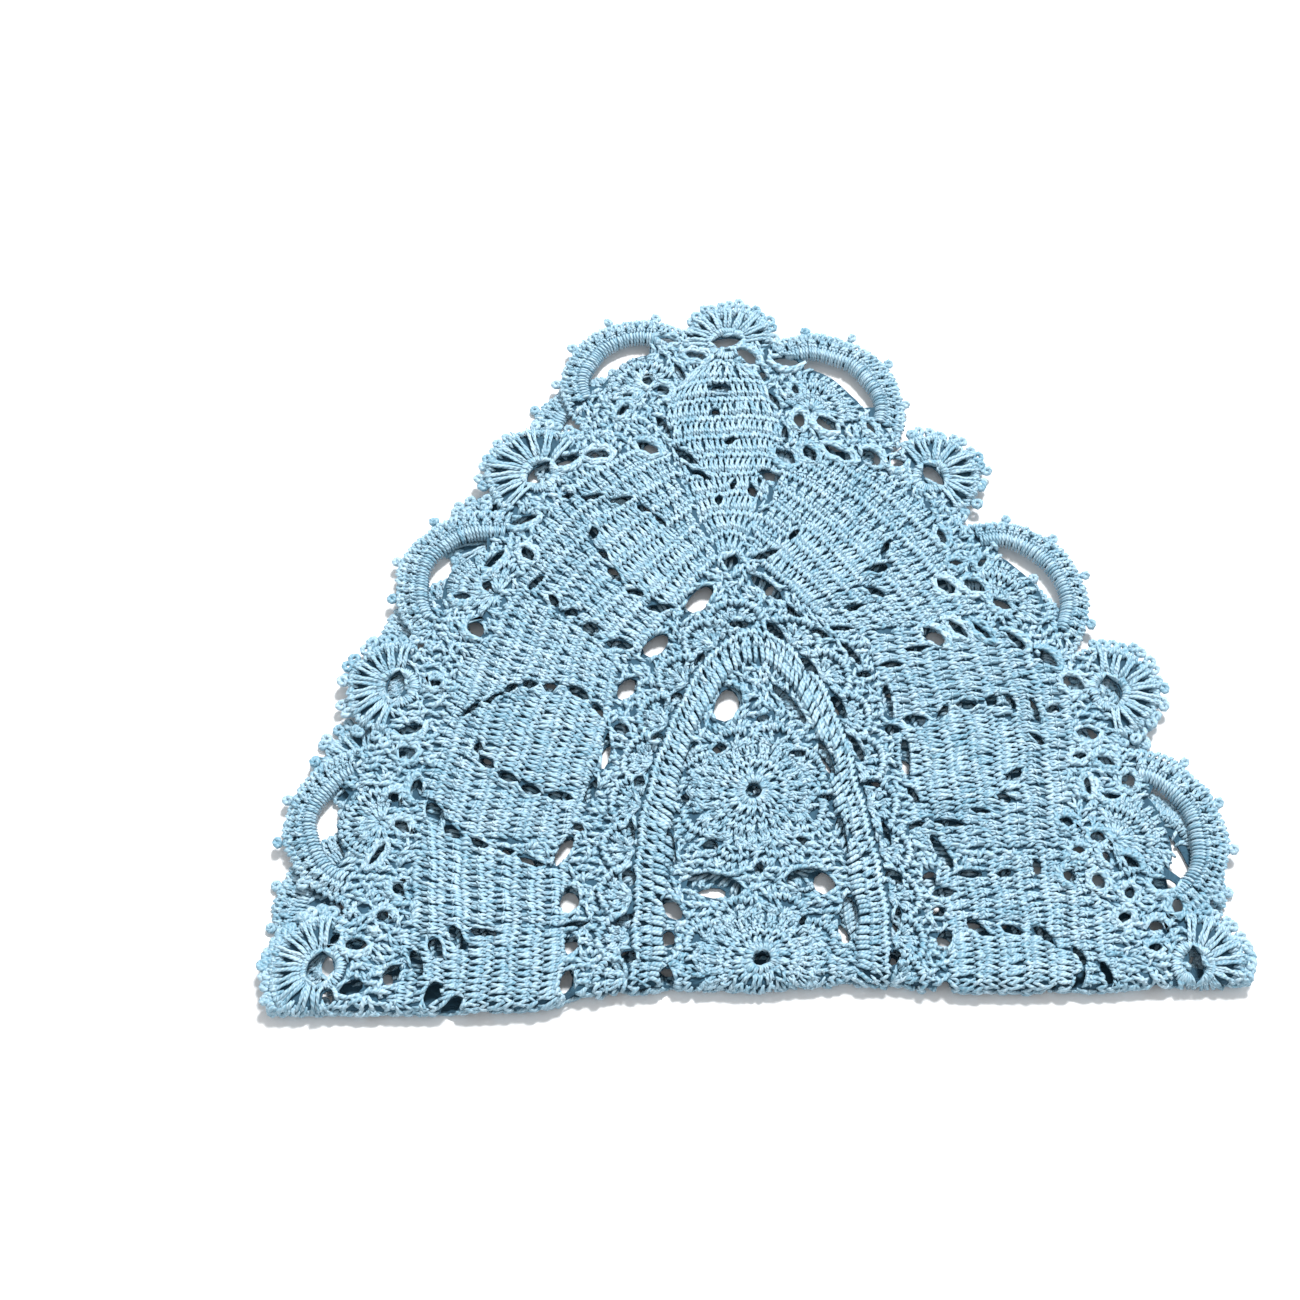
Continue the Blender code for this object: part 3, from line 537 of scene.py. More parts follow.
SOFT = (
    (1.16, ((0.18, -0.16, 0.3), (0.24, 0.24, 0.6), (0.50, 0.64, 0.8), (0.70, 1.12, 0.6))),
    (1.12, ((0.84, -0.16, 0.3), (0.78, 0.22, 0.6), (0.58, 0.56, 0.5), (0.28, 1.08, 0.5))),
)
STITCHES = (POST, RIDGE, BAR, RAY, CLOSE, LONG, KNOT, SOFT)
KINDS = range(len(STITCHES))
A_POST, A_RIDGE, A_BAR, A_RAY, A_CLOSE, A_LONG, A_KNOT, A_SOFT = KINDS
LIFT, KIND, PAIR, TWIST = 8, 9, 10, 11


def stations(line, count):
    """Places at even distances along a line."""
    line = np.asarray(line, float)
    steps = np.r_[0, np.cumsum(lengths(np.diff(line, axis=0)))]
    at = np.linspace(0, steps[-1], count + 1)
    return np.stack([np.interp(at, steps, line[:, k]) for k in (0, 1)], axis=-1)


def row(base, top, count, lift=0.0, kind=A_POST, paired=1.0, twist=1):
    """One row of stitches, each its four corners, its lift in mm, its kind, its lean and its twist."""
    a, b = stations(base, count), stations(top, count)
    quads = np.stack([a[:-1], a[1:], b[1:], b[:-1]], axis=1)
    lean = np.where(np.arange(count) % 2, -paired, paired)
    extra = np.column_stack([np.full(count, lift), np.full(count, kind), lean, np.full(count, twist)])
    return np.hstack([quads.reshape(-1, 8), extra])


def corners(rows):
    return rows[:, :8].reshape(-1, 4, 2)


def centres(rows):
    return corners(rows).mean(1)


def in_each(quads, u, v):
    """Places in quadrilaterals, u across from the left side and v from foot to head."""
    foot = quads[:, 0] * (1 - u) + quads[:, 1] * u
    return foot * (1 - v) + (quads[:, 3] * (1 - u) + quads[:, 2] * u) * v


def both_halves(rows):
    """The rows and the same in the other half of the oval."""
    rows = np.asarray(rows)
    quads = mirrored(corners(rows))[:, [1, 0, 3, 2]]
    other = np.hstack([quads.reshape(-1, 8), rows[:, 8:] * [1, 1, -1, -1]])
    return np.vstack([rows, other])


# A map of the flat cloth in half millimetres: which opening is there, and what is worked already.
# A crescent counts for more than an oval, so that no stitch spans it.
MAP_PITCH = 0.5
MAP_CORNER = np.array([-172.0, -278.0])
MAP_SIZE = (690, 1136)
CRESCENT_WEIGHT = 3
worked = np.zeros(MAP_SIZE, bool)
opened = np.zeros(MAP_SIZE)
hole_at = np.zeros(MAP_SIZE, int)
ACROSS, ALONG = (x.reshape(-1, 1) for x in np.meshgrid((0.15, 0.5, 0.85), (0.08, 0.36, 0.64, 0.92)))


def on_map(points):
    """The cells of the map that hold these places."""
    cells = np.round((np.asarray(points) - MAP_CORNER) / MAP_PITCH).astype(int)
    return tuple(np.clip(cells[..., k], 1, MAP_SIZE[k] - 2) for k in (0, 1))


def spots(rows):
    """A few places spread over each stitch."""
    return in_each(corners(rows)[:, :, None], ACROSS, ALONG)


def mark_worked(points):
    i, j = on_map(points)
    for di in (-1, 0, 1):
        for dj in (-1, 0, 1):
            worked[i + di, j + dj] = True


ovals = []
for number, hole in enumerate(openings, 1):
    centre, is_oval = hole.mean(0), len(hole) == OVAL_POINTS
    spread, axes = np.linalg.eigh(np.cov((hole - centre).T, bias=True))
    ovals.append((centre, axes[:, 1], axes[:, 0], *np.sqrt(2 * spread[::-1]), is_oval))
    cells = lattice(*(np.arange(a - 2, b + 2, MAP_PITCH) for a, b in zip(hole.min(0), hole.max(0))))
    cells = cells.reshape(-1, 2)
    out = (hole - centre) / lengths(hole - centre)[:, None]
    opened[on_map(cells[within(cells, hole)])] = 1 if is_oval else CRESCENT_WEIGHT
    hole_at[on_map(cells[within(cells, hole + out)])] = number

# Strands stay this far outside an opening, and those moved off it bunch up a little.
HOLE_EDGE = 0.45
BUNCHED, BUNCHED_MOST = 0.15, 0.5


def pushed_aside(plan):
    """Strands moved off the openings that they would cross, each to the side where most of it lies."""
    plan = np.array(plan, float)
    near = hole_at[on_map(plan)]
    for number in np.unique(near[near > 0]):
        centre, ahead, aside, half, wide, is_oval = ovals[number - 1]
        if not is_oval:
            continue
        chosen = (near == number).any(axis=1)
        offset = plan[chosen] - centre
        along, across = offset @ ahead, offset @ aside
        share = np.clip(1 - (along / (half + HOLE_EDGE)) ** 2, 0, 1)
        reach = HOLE_EDGE + wide * np.sqrt(share)
        side = np.where(across.mean(1, keepdims=True) < 0, -1.0, 1.0)
        inside = (side * across < reach) & (np.abs(along) < half + HOLE_EDGE)
        inward = np.clip(BUNCHED * (reach - side * across), 0, BUNCHED_MOST)
        plan[chosen] += np.where(inside, side * (reach - inward) - across, 0)[..., None] * aside
    return plan


END_TAPER = 0.55
ABOVE_TABLE = 0.02


def directions(vectors):
    return vectors / (lengths(vectors)[..., None] + 1e-12)


def tubes(paths, normals, radius, closed=False, tones=None, sides=4):
    """Strands along paths (count, points, 3), each a closed tube: points, faces, UVs and tones."""
    count, steps, _ = paths.shape
    ahead = np.roll(paths, -1, axis=1) - np.roll(paths, 1, axis=1)
    if not closed:
        ahead[:, 0] = paths[:, 1] - paths[:, 0]
        ahead[:, -1] = paths[:, -1] - paths[:, -2]
    ahead = directions(ahead)
    side = directions(np.cross(normals, ahead))
    up = np.cross(ahead, side)
    radius = np.broadcast_to(radius, (count, steps)) * MM / math.sqrt(math.cos(math.pi / sides))
    if not closed:
        radius = radius * np.r_[END_TAPER, np.ones(steps - 2), END_TAPER]
    t = (np.arange(sides) + 0.5) / sides * 2 * math.pi
    ring = side[:, :, None] * np.cos(t)[:, None] + up[:, :, None] * np.sin(t)[:, None]
    verts = (paths[:, :, None] + ring * radius[:, :, None, None]).reshape(-1, 3)
    verts[:, 2] = np.maximum(verts[:, 2], ABOVE_TABLE * MM)
    last = steps if closed else steps - 1
    i, j = (x.ravel() for x in np.meshgrid(np.arange(last), np.arange(sides), indexing="ij"))
    k, m = (i + 1) % steps, (j + 1) % sides
    faces = np.column_stack([i * sides + j, i * sides + m, k * sides + m, k * sides + j])
    length = np.r_[0, np.cumsum(lengths(np.diff(paths[0], axis=0))) / MM]
    length = np.r_[length, length[-1] + length[1]]
    u, v = length[np.stack([i, i, i + 1, i + 1], axis=1)], np.stack([j, j + 1, j + 1, j], axis=1) / sides
    uv = np.stack([u, v], axis=-1)
    if not closed:
        top = (steps - 1) * sides
        caps = [[3, 2, 1, 0], [top, top + 1, top + 2, top + 3]]
        if sides == 6:
            caps += [[5, 4, 3, 0], [top, top + 3, top + 4, top + 5]]
        faces = np.vstack([faces, caps])
        uv = np.concatenate([uv, np.zeros((len(caps), 4, 2))])
    many = (faces[None] + (np.arange(count) * steps * sides)[:, None, None]).reshape(-1, 4)
    uv = np.broadcast_to(uv, (count,) + uv.shape).reshape(-1, 2)
    tones = chance.random(count) if tones is None else tones
    return verts, many, uv, np.repeat(tones, steps * sides)


def laid_tubes(plan, height, radius, **more):
    """Strands whose middles are flat places, at heights above the middle of the cloth."""
    plan = pushed_aside(plan)
    height = np.broadcast_to(height, plan.shape[:-1])
    normals = directions(lay(plan, height + 0.5) - lay(plan, height - 0.5))
    return tubes(lay(plan, height), normals, radius, **more)


cotton = yarn("blue_cotton", (0.13, 0.32, 0.44, 1), (0.46, 0.625, 0.73, 1), 0.45)
pieces, under = [], []


def spun(name, parts):
    """One piece from several lots of strands."""
    first, lots = 0, ([], [], [], [])
    for v, f, uv, tone in parts:
        for lot, values in zip(lots, (v, f + first, uv, tone)):
            lot.append(values)
        first += len(v)
    verts, faces, uvs, tones = (np.concatenate(lot) for lot in lots)
    mesh = bpy.data.meshes.new(name)
    mesh.vertices.add(len(verts))
    mesh.vertices.foreach_set("co", verts.ravel())
    mesh.loops.add(faces.size)
    mesh.loops.foreach_set("vertex_index", faces.ravel())
    mesh.polygons.add(len(faces))
    mesh.polygons.foreach_set("loop_start", np.arange(len(faces)) * 4)
    mesh.update(calc_edges=True)
    mesh.uv_layers.new(name="UVMap").data.foreach_set("uv", uvs.ravel())
    mesh.attributes.new("tone", "FLOAT", "POINT").data.foreach_set("value", tones)
    mesh.shade_smooth()
    mesh.materials.append(cotton)
    piece = bpy.data.objects.new(name, mesh)
    bpy.context.scene.collection.objects.link(piece)
    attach(piece, "root")
    pieces.append(piece)


# How unevenly the work is hooked: stitches slide sideways, lean and stand high or low, and so
# does each strand, whose thickness changes too.
SLIDE, LEAN, RISE, TONE = 0.08, 0.14, 0.17, 0.2
STRAND_SLIDE, STRAND_RISE, STRAND_THICKNESS, STRAND_TONE = 0.04, 0.10, 0.08, 0.16
STRAND_HIGH = 0.88
# The lower half shows its face to the table, pressed flatter.
FACE_BELOW = -0.55


def hooked(rows, face=1.0):
    """The strands of every stitch in the rows, a little uneven as handwork is."""
    parts = []
    for kind in KINDS:
        chosen = rows[rows[:, KIND] == kind]
        count = len(chosen)
        if not count:
            continue

        def shake(amount):
            return chance.normal(0, amount, (count, 1))

        lift, pair, twist = (chosen[:, k:k + 1] for k in (LIFT, PAIR, TWIST))
        tone = 0.5 + TONE * chance.normal(0, 1, count)
        slide, lean, rise = shake(SLIDE), shake(LEAN), shake(RISE)
        pair = PAIRED * pair * (kind != A_RIDGE)
        for thick, strand in STITCHES[kind]:
            across, along, high = np.array(strand).T
            u = across + slide + pair * (0.4 + 0.6 * along) + lean * (along - 0.5) + shake(STRAND_SLIDE)
            u = np.where(twist < 0, 1 - u, u)[..., None]
            v = (along + shake(STRAND_SLIDE))[..., None]
            plan = in_each(corners(chosen)[:, :, None], u, v)
            height = face * (lift + rise + STRAND_HIGH * high + shake(STRAND_RISE))
            radius = thick * YARN * (1 + shake(STRAND_THICKNESS))
            shade = np.clip(tone + STRAND_TONE * chance.normal(0, 1, count), 0, 1)
            parts.append(laid_tubes(plan, height, radius, tones=shade))
    return parts


FRONT_REACH = 7.0


def is_upper(plan):
    """Whether a flat place is in the upper half, or on the front of the fold."""
    return past_bend(plan) > -BEND - FRONT_REACH


def work(name, rows, full_below=False, open_share=0.6):
    """Leaves out stitches over openings, works those on top as a piece and keeps the rest."""
    rows = rows[opened[on_map(spots(rows))].mean(1) < open_share]
    mark_worked(spots(rows))
    top = is_upper(centres(rows))
    if full_below:
        spun(name, hooked(rows[top]) + hooked(rows[~top], FACE_BELOW))
    else:
        spun(name, hooked(rows[top]))
        under.append(rows[~top])


def ring_line(centre, radius, start, end, steps=24):
    return np.asarray(centre) + unit(np.linspace(start, end, steps)) * radius


def rounds(centre, facing, *rings, steps=24):
    """Rows in rings: radius of foot and head, half the turn, count, lift, kind and how paired."""
    rows = []
    for inner, outer, wide, *rest in rings:
        base, top = (ring_line(centre, r, facing + wide, facing - wide, steps) for r in (inner, outer))
        rows.append(row(base, top, *rest))
    return np.vstack(rows)


# ----------------------------------------------------------------------
# The rosettes: three round motifs down the middle, each worked out from a small ring in rounds,
# the first of long posts like rays, with eight shells on the last round.
ROSETTE_REACH = 20.5
PETAL_FOOT = 17.0


def rosette(y):
    centre = (ROSETTE_X, y)
    rows = [rounds(
        centre, 180, (2.6, 5.8, 180, 36, 0.9, A_RAY), (5.6, 9.0, 180, 26, 0.6, A_CLOSE),
        (8.8, 11.8, 180, 26, 0.7, A_RIDGE), (11.6, 15.8, 180, 42, 0.4, A_POST),
        (15.8, 20.0, 180, 50, 0.2, A_POST), steps=72,
    )]
    for facing in 45 * np.arange(8) + 22.5:
        rows.append(rounds(
            centre + unit(facing) * PETAL_FOOT, facing, (2.2, 6.0, 88, 8, 0.3, A_POST),
            (6.0, 8.8, 80, 11, 0.6, A_RIDGE), (8.8, 11.8, 46, 8, 0.0, A_CLOSE),
        ))
    return np.vstack(rows)


def near_centre(rows, y):
    return rows[lengths(centres(rows) - [ROSETTE_X, y]) < ROSETTE_REACH]


middle_rosette, end_rosettes = rosette(ROSETTE_YS[0]), both_halves(rosette(ROSETTE_YS[1]))
work("rosette_middles", np.vstack([
    near_centre(middle_rosette, ROSETTE_YS[0]),
    near_centre(end_rosettes, ROSETTE_YS[1]),
    near_centre(end_rosettes, 2 * AXIS_Y - ROSETTE_YS[1]),
]))

# ----------------------------------------------------------------------
# The band: a pointed oval worked round the rosettes, standing proud of the rest: fat bars on
# the inside, a row of crossed stitches with openings between, and a ridge of chain outside.
BAND_OUT, BAND_IN, BAND_POWER = np.array([41.0, 122.0]), np.array([30.8, 110.0]), 0.52
BAND_X = 1.0
# Each row's foot and head as shares of the band's width, then count, lift, kind and pairing.
BAND_PARTS = (
    (0.0, 0.42, 62, 1.1, A_BAR, 0.7),
    (0.40, 0.72, 60, 1.2, A_CLOSE, 1.0),
    (0.70, 1.0, 62, 1.1, A_RIDGE, 0),
)


def band_side(half, steps=40):
    """One side of a pointed oval with these half axes, from the short axis to its point."""
    rise = np.sin(np.linspace(0, math.pi / 2, steps + 1))
    across = half[0] * np.maximum(0, 1 - rise**2) ** BAND_POWER
    return np.stack([across, AXIS_Y + half[1] * rise], axis=-1)


def free_of(rows, share=0.4):
    """The stitches that don't lie on ones already worked."""
    return rows[worked[on_map(spots(rows))].mean(1) < share]


def band_rows():
    rows = []
    for side in (-1, 1):
        for start, end, *rest in BAND_PARTS:
            sides = [band_side(BAND_IN + (BAND_OUT - BAND_IN) * share) for share in (start, end)]
            rows.append(row(*((line * [side, 1] + [BAND_X, 0])[::side] for line in sides), *rest))
    return both_halves(np.vstack(rows))


work("band", band_rows(), full_below=True, open_share=0.5)
work("rosette_shells", free_of(np.vstack([middle_rosette, end_rosettes])))

# ----------------------------------------------------------------------
# The shells: a ring of scallops worked into the band's outer edge, each a fan of posts that
# springs from one stitch, with a rim that curls up.
SHELL_PITCH, SHELL_START = 16.2, 7.5
POINT_SHELL = (-4.0, AXIS_Y + BAND_OUT[1] + 0.5, 95)


def shell_feet():
    """Place and facing of each shell, up the right of the band, up the left, and at its point."""
    line = band_side(BAND_OUT)
    edges = np.diff(line, axis=0)
    steps = np.r_[0, np.cumsum(lengths(edges))]
    at = np.arange(SHELL_START, steps[-1], SHELL_PITCH)
    which = np.searchsorted(steps, at, side="right") - 1
    ahead = edges[which] / lengths(edges[which])[:, None]
    places = line[which] + ahead * (at - steps[which])[:, None]
    facing = np.degrees(np.arctan2(-ahead[:, 0], ahead[:, 1]))
    right = [(BAND_X + x, y, turn) for (x, y), turn in zip(places, facing)]
    return right + [(2 * BAND_X - x, y, 180 - turn) for x, y, turn in right] + [POINT_SHELL]


def shell_rows():
    rows = []
    for x, y, facing in shell_feet():
        rows.append(rounds(
            (x, y) + unit(facing) * 0.8, facing, (0.8, 5.0, 84, 6, 0.1, A_POST),
            (5.0, 8.6, 90, 10, 0.4, A_POST), (8.4, 10.8, 82, 14, 1.5, A_RIDGE),
        ))
    return both_halves(np.vstack(rows))


work("shells", free_of(shell_rows()), full_below=True)

# ----------------------------------------------------------------------
# The leaf panels: twelve panels of close rows, worked outwards from the shells. A line of
# openings marks a leaf in the middle of each, which is plumper than the rows round it.
STITCH_WIDE, POST_HIGH, RIDGE_HIGH = 1.95, 4.5, 3.6
Panel = namedtuple("Panel", "name base_a base_b tip_a tip_b bow")
PANELS = (
    Panel("panel_1", (-63, 42), (-63, -32), (-110, 58), (-110, -48), 0),
    Panel("panel_2", (-46, 118), (-60, 46), (-84, 148), (-112, 56), 6),
    Panel("panel_3", (-8, 162), (-44, 116), (-32, 206), (-90, 148), 7),
    Panel("panel_5", (34, 126), (2, 160), (84, 134), (18, 206), 9),
    Panel("panel_6", (57, 46), (44, 126), (106, 46), (102, 130), 4),
    Panel("panel_7", (63, -30), (63, 40), (110, -38), (110, 48), 0),
)
Leaf = namedtuple("Leaf", "x y facing length width base widest")
LEAVES = (
    Leaf(-62, 5, 180, 50, 14, 0.85, 0.4),
    Leaf(-51, 83, 179, 42, 18.5, 0.8, 0.45),
    Leaf(-20, 142, 136, 46, 14, 0.8, 0.45),
    Leaf(-6, 160, 91, 82, 20, 0.12, 0.68),
    Leaf(11, 146, 27, 39, 16, 0.8, 0.45),
    Leaf(51, 77, 1, 42, 18.5, 0.8, 0.45),
    Leaf(63, 5, 0, 40, 13, 0.85, 0.45),
)
# Where the panels end and the net begins.
NET = (
    (-113, 5), (-111, 28), (-107, 50), (-108, 72), (-104, 94), (-95, 117), (-82, 136), (-75, 158),
    (-67, 178), (-52, 194), (-38, 203), (-30, 216), (-25, 232), (-16, 243), (-3, 245), (9, 239),
    (15, 222), (20, 209), (32, 201), (46, 198), (58, 188), (66, 170), (73, 149), (82, 131), (94, 120),
    (104, 105), (107, 85), (105, 64), (107, 45), (112, 26), (114, 5),
)
PANEL_LIFT, LEAF_PLUMP, LEAF_PAIRED = 0.1, 0.45, 0.35
GROOVE_DEEP, GROOVE_WIDE = 0.8, 1.6
TIP_HOLLOW = 2.5


def curve(points, steps=6):
    """A smooth line through the points."""
    p = np.array(points, float)
    p = np.vstack([2 * p[0] - p[1], p, 2 * p[-1] - p[-2]])
    t = np.linspace(0, 1, steps, endpoint=False)[:, None]
    line = []
    for a, b, c, d in zip(p, p[1:], p[2:], p[3:]):
        bend = (2 * a - 5 * b + 4 * c - d) * t**2 + (3 * b - a - 3 * c + d) * t**3
        line.append(0.5 * (2 * b + (c - a) * t + bend))
    return np.vstack(line + [p[-2:-1]])


def leaf_half_width(leaf, t):
    t = np.asarray(t, float)
    rising = leaf.base + (1 - leaf.base) * np.sin(math.pi / 2 * np.minimum(t / leaf.widest, 1))
    falling = np.sqrt(np.maximum(0, 1 - ((t - leaf.widest) / (1 - leaf.widest)) ** 2))
    return leaf.width * np.where(t < leaf.widest, rising, falling)


def leaf_edge(leaf, steps=20):
    """The leaf's outline, up one side and down the other."""
    t = np.sin(np.linspace(0, math.pi / 2, steps + 1))
    spine = middle(leaf) + np.outer(t * leaf.length, unit(leaf.facing))
    across = np.outer(leaf_half_width(leaf, t), unit(leaf.facing + 90))
    return np.vstack([spine - across, (spine + across)[-2::-1]])


net_line = curve(NET)
panel_limit = np.vstack([net_line, mirrored(net_line)[::-1]])


def dressed(rows):
    """The rows with each leaf plump, a groove along its edge, and closer work inside it."""
    rows, places = np.array(rows), centres(rows)
    places[:, 1] = AXIS_Y + np.abs(places[:, 1] - AXIS_Y)
    rows[:, LIFT] += PANEL_LIFT
    for leaf in LEAVES:
        ring = leaf_edge(leaf)
        inside = within(places, ring)
        rows[inside, LIFT] += LEAF_PLUMP
        rows[inside, PAIR] *= LEAF_PAIRED
        rows[inside & (rows[:, KIND] == A_POST), KIND] = A_SOFT
        a, side = ring[:-1], np.diff(ring, axis=0)
        t = np.clip(((places[:, None] - a) * side).sum(-1) / (side**2).sum(-1), 0, 1)
        away = lengths(a + t[..., None] * side - places[:, None]).min(1)
        rows[:, LIFT] -= GROOVE_DEEP * np.exp(-((away / GROOVE_WIDE) ** 2))
    return rows


def row_levels(length):
    """Where each row starts and ends: a ridge below the panel, then posts and ridges by turns."""
    period = POST_HIGH + RIDGE_HIGH
    periods = max(1, round(length / period))
    scale = length / (periods * period)
    levels, kinds = [-RIDGE_HIGH * scale], []
    for _ in range(periods + 1):
        kinds += [A_RIDGE, A_POST]
        levels += [levels[-1] + RIDGE_HIGH * scale]
        levels += [levels[-1] + POST_HIGH * scale]
    return list(zip(levels, levels[1:], kinds))


def panel_rows(panel):
    base_a, base_b, tip_a, tip_b = (np.array(c, float) for c in panel[1:5])
    side_a, side_b = tip_a - base_a, tip_b - base_b
    length = (lengths(side_a) + lengths(side_b)) / 2 + panel.bow
    out = directions(side_a + side_b)
    w = np.linspace(0, 1, 15)[:, None]
    crown = 4 * w * (1 - w)
    rows = []
    for number, (start, end, kind) in enumerate(row_levels(length)):
        lines = []
        for v in (start / length, end / length):
            a, b = base_a + side_a * v, base_b + side_b * v
            lines.append(a + (b - a) * w + out * (panel.bow * crown * max(v, 0) ** 1.5))
        wide = sum(lengths(line[0] - line[-1]) for line in lines) / 2
        count = 2 * round(wide / STITCH_WIDE / 2)
        rows.append(row(*lines, count, 0.2, kind, twist=1 if number % 4 < 2 else -1))
    return np.vstack(rows)


def tall_leaf_rows(leaf):
    """The panel at each end of the oval is one tall leaf."""
    ahead, aside = unit(leaf.facing), unit(leaf.facing + 90)
    w = np.linspace(1, -1, 9)
    rows = []
    for start, end, kind in row_levels(leaf.length)[1:]:
        lines = []
        for v in (start / leaf.length, min(1.0, end / leaf.length)):
            half = float(leaf_half_width(leaf, min(v, 0.985))) + 0.5
            spine = middle(leaf, leaf.length * v)
            lines.append(spine + np.outer(half * w, aside) - np.outer(w**2, ahead) * TIP_HOLLOW)
        count = max(3, round(lengths(lines[1][0] - lines[1][-1]) / STITCH_WIDE))
        lift, kind = (0.45, A_SOFT) if kind == A_POST else (0.05, A_RIDGE)
        rows.append(row(*lines, count, lift, kind, 0.7))
    return np.vstack(rows)


work("panel_4", dressed(free_of(both_halves(tall_leaf_rows(LEAVES[3])))))
for panel in PANELS:
    rows = panel_rows(panel)
    rows = rows[within(centres(rows), panel_limit)]
    if panel.name not in ("panel_1", "panel_7"):
        rows = both_halves(rows)
    work(panel.name, dressed(free_of(rows)))

# ----------------------------------------------------------------------
# The padded arcs: a cord of several strands, wrapped closely with long fine stitches, and two
# rows worked into them up to the rounded edge.
ARC_SPAN = 66
WRAP_PITCH, WRAP_YARN, WRAP_STRAY = 1.2, 0.50, 0.35
CORE_REACH, CORE_HEIGHT = 2.2, 0.6
WRAP_REACH = np.array([-0.6, 0.1, 1.2, 2.6, 4.0])
WRAP_HEIGHT = np.array([-0.7, 0.9, 2.1, 2.4, 1.6])
# The lower cord at the right lies askew, further out than the one above it.
ASKEW = 4.6


def wrapped_cord(arc, flip):
    if flip and arc is ARCS[5]:
        arc = arc._replace(inner=arc.inner + ASKEW)
    count = round(math.radians(2 * ARC_SPAN) * (arc.inner + 2) / WRAP_PITCH)
    facing = arc.facing + np.linspace(-ARC_SPAN, ARC_SPAN, count) + chance.normal(0, WRAP_STRAY, count)
    plan = middle(arc) + unit(facing)[:, None] * (arc.inner + WRAP_REACH)[:, None]
    reach = arc.inner + CORE_REACH
    core = ring_line(middle(arc), reach, arc.facing - ARC_SPAN, arc.facing + ARC_SPAN)
    if flip:
        plan, core = mirrored(plan), mirrored(core)
    mark_worked(plan.reshape(-1, 2))
    below = past_bend(plan.mean((0, 1))) < 0
    face, sides, core_yarn = (-0.45, 4, 0.8) if below else (1.0, 6, 1.4)
    height = face * (WRAP_HEIGHT + chance.normal(0, STRAND_RISE, (count, 1)))
    radius = WRAP_YARN * (1 + chance.normal(0, STRAND_THICKNESS, (count, 1)))
    wraps = laid_tubes(plan, height, radius, sides=sides)
    return [wraps, laid_tubes(core[None], face * CORE_HEIGHT, core_yarn)]


def arc_rows(arc):
    """A row of posts on the cord, and a closer one out to the edge."""
    span = ARC_SPAN + 3
    rows = []
    for inner, outer, *rest in (
        (arc.inner + 3.8, arc.inner + 7.2, 1.1, A_POST, 1.0),
        (arc.inner + 7.2, arc.outer - 1.6, 0.5, A_CLOSE, 0),
    ):
        count = round(math.radians(2 * span) * outer / 2.2)
        rows.append(rounds(middle(arc), arc.facing, (inner, outer, span, count, *rest)))
    return np.vstack(rows)


spun("padded_arcs", [part for arc in ARCS for part in wrapped_cord(arc, False)])
spun("padded_arcs_under", [part for arc in ARCS for part in wrapped_cord(arc, True)])
work("arc_edges", both_halves(np.vstack([arc_rows(arc) for arc in ARCS])), full_below=True)

# ----------------------------------------------------------------------
# The fans: twelve half rounds between the arcs. Fine strands close the ring of a dark opening,
# and long posts stand on them in pairs, one pair to each point. A smaller fan fills each arc.
POINT_TURNS = np.arange(-88, 89, 22)
# The two long posts of a point: how far each foot and head is from the middle, and how wide.
POST_FEET, POST_FOOT_WIDE = 5.5, np.array([5.4, -5.4])
POST_HEADS, POST_HEAD_WIDE = 3.2, np.array([2.6, -2.6])
POST_FOOT, POST_HEAD = 6.2, 5.2
SLOT_STEP = 0.8


def fan_rows(fan):
    c, facing = middle(fan, 0.5), fan.facing
    rows = [
        rounds(c, facing, (4.2, 7.2, 112, 34, 0.6, A_RAY, 0), steps=48),
        rounds(c, facing + 180, (4.0, 7.4, 68, 18, 0.5, A_RAY, 0)),
    ]
    for turn in facing + POINT_TURNS:
        for side in (-1, 1):
            foot = c + unit(turn + side * POST_FEET + POST_FOOT_WIDE) * POST_FOOT
            head = c + unit(turn + side * POST_HEADS + POST_HEAD_WIDE) * (fan.radius - POST_HEAD)
            rows.append(row(foot, head, 1, 0.8, A_LONG, 0, side))
        rows.append(rounds(c, turn, (fan.radius - 7.4, fan.radius - 4.8, 6, 2, 0.6, A_RIDGE)))
    return np.vstack(rows)


def small_fan_rows(arc):
    return rounds(
        middle(arc, -0.16 * arc.inner), arc.facing, (1.4, 6.2, 112, 18, 0.4, A_RAY),
        (6.0, 9.8, 104, 17, 0.5, A_POST), (9.8, 13.0, 92, 18, 0.6, A_RIDGE),
        (13.0, 0.8084 * arc.inner - 0.8, 66, 18, 0.3, A_POST),
    )


fans = np.vstack(
    [fan_rows(FANS[0]), fan_rows(FANS[6])] + [both_halves(fan_rows(fan)) for fan in FANS[1:6]]
)
fans = fans[within(corners(fans).mean(1), outline(0.2, 0.2))]
work("fans", free_of(fans, 0.6), full_below=True)
# The slots between the posts stay dark, so nothing else is worked there.
for fan in FANS:
    for reach in np.arange(6.5, fan.radius - 5, SLOT_STEP):
        ring = ring_line(middle(fan), reach, fan.facing - 95, fan.facing + 95, 90)
        mark_worked(np.vstack([ring, mirrored(ring)]))
work("small_fans", free_of(both_halves(np.vstack([small_fan_rows(arc) for arc in ARCS]))))

# ----------------------------------------------------------------------
# The net and the joins: two twisted threads round each opening of the net, and between the
# motifs short stitches and knots, placed by chance, that fill what is still bare.
JOIN_PITCH = 2.6
JOIN_LONG, JOIN_WIDE = 2.0, 1.3
JOIN_STRAY, JOIN_TURN, JOIN_LIFTS = 0.4, 35, (-0.3, 0.6)
KNOT_SHARE, FLIPPED_SHARE = 0.6, 0.5


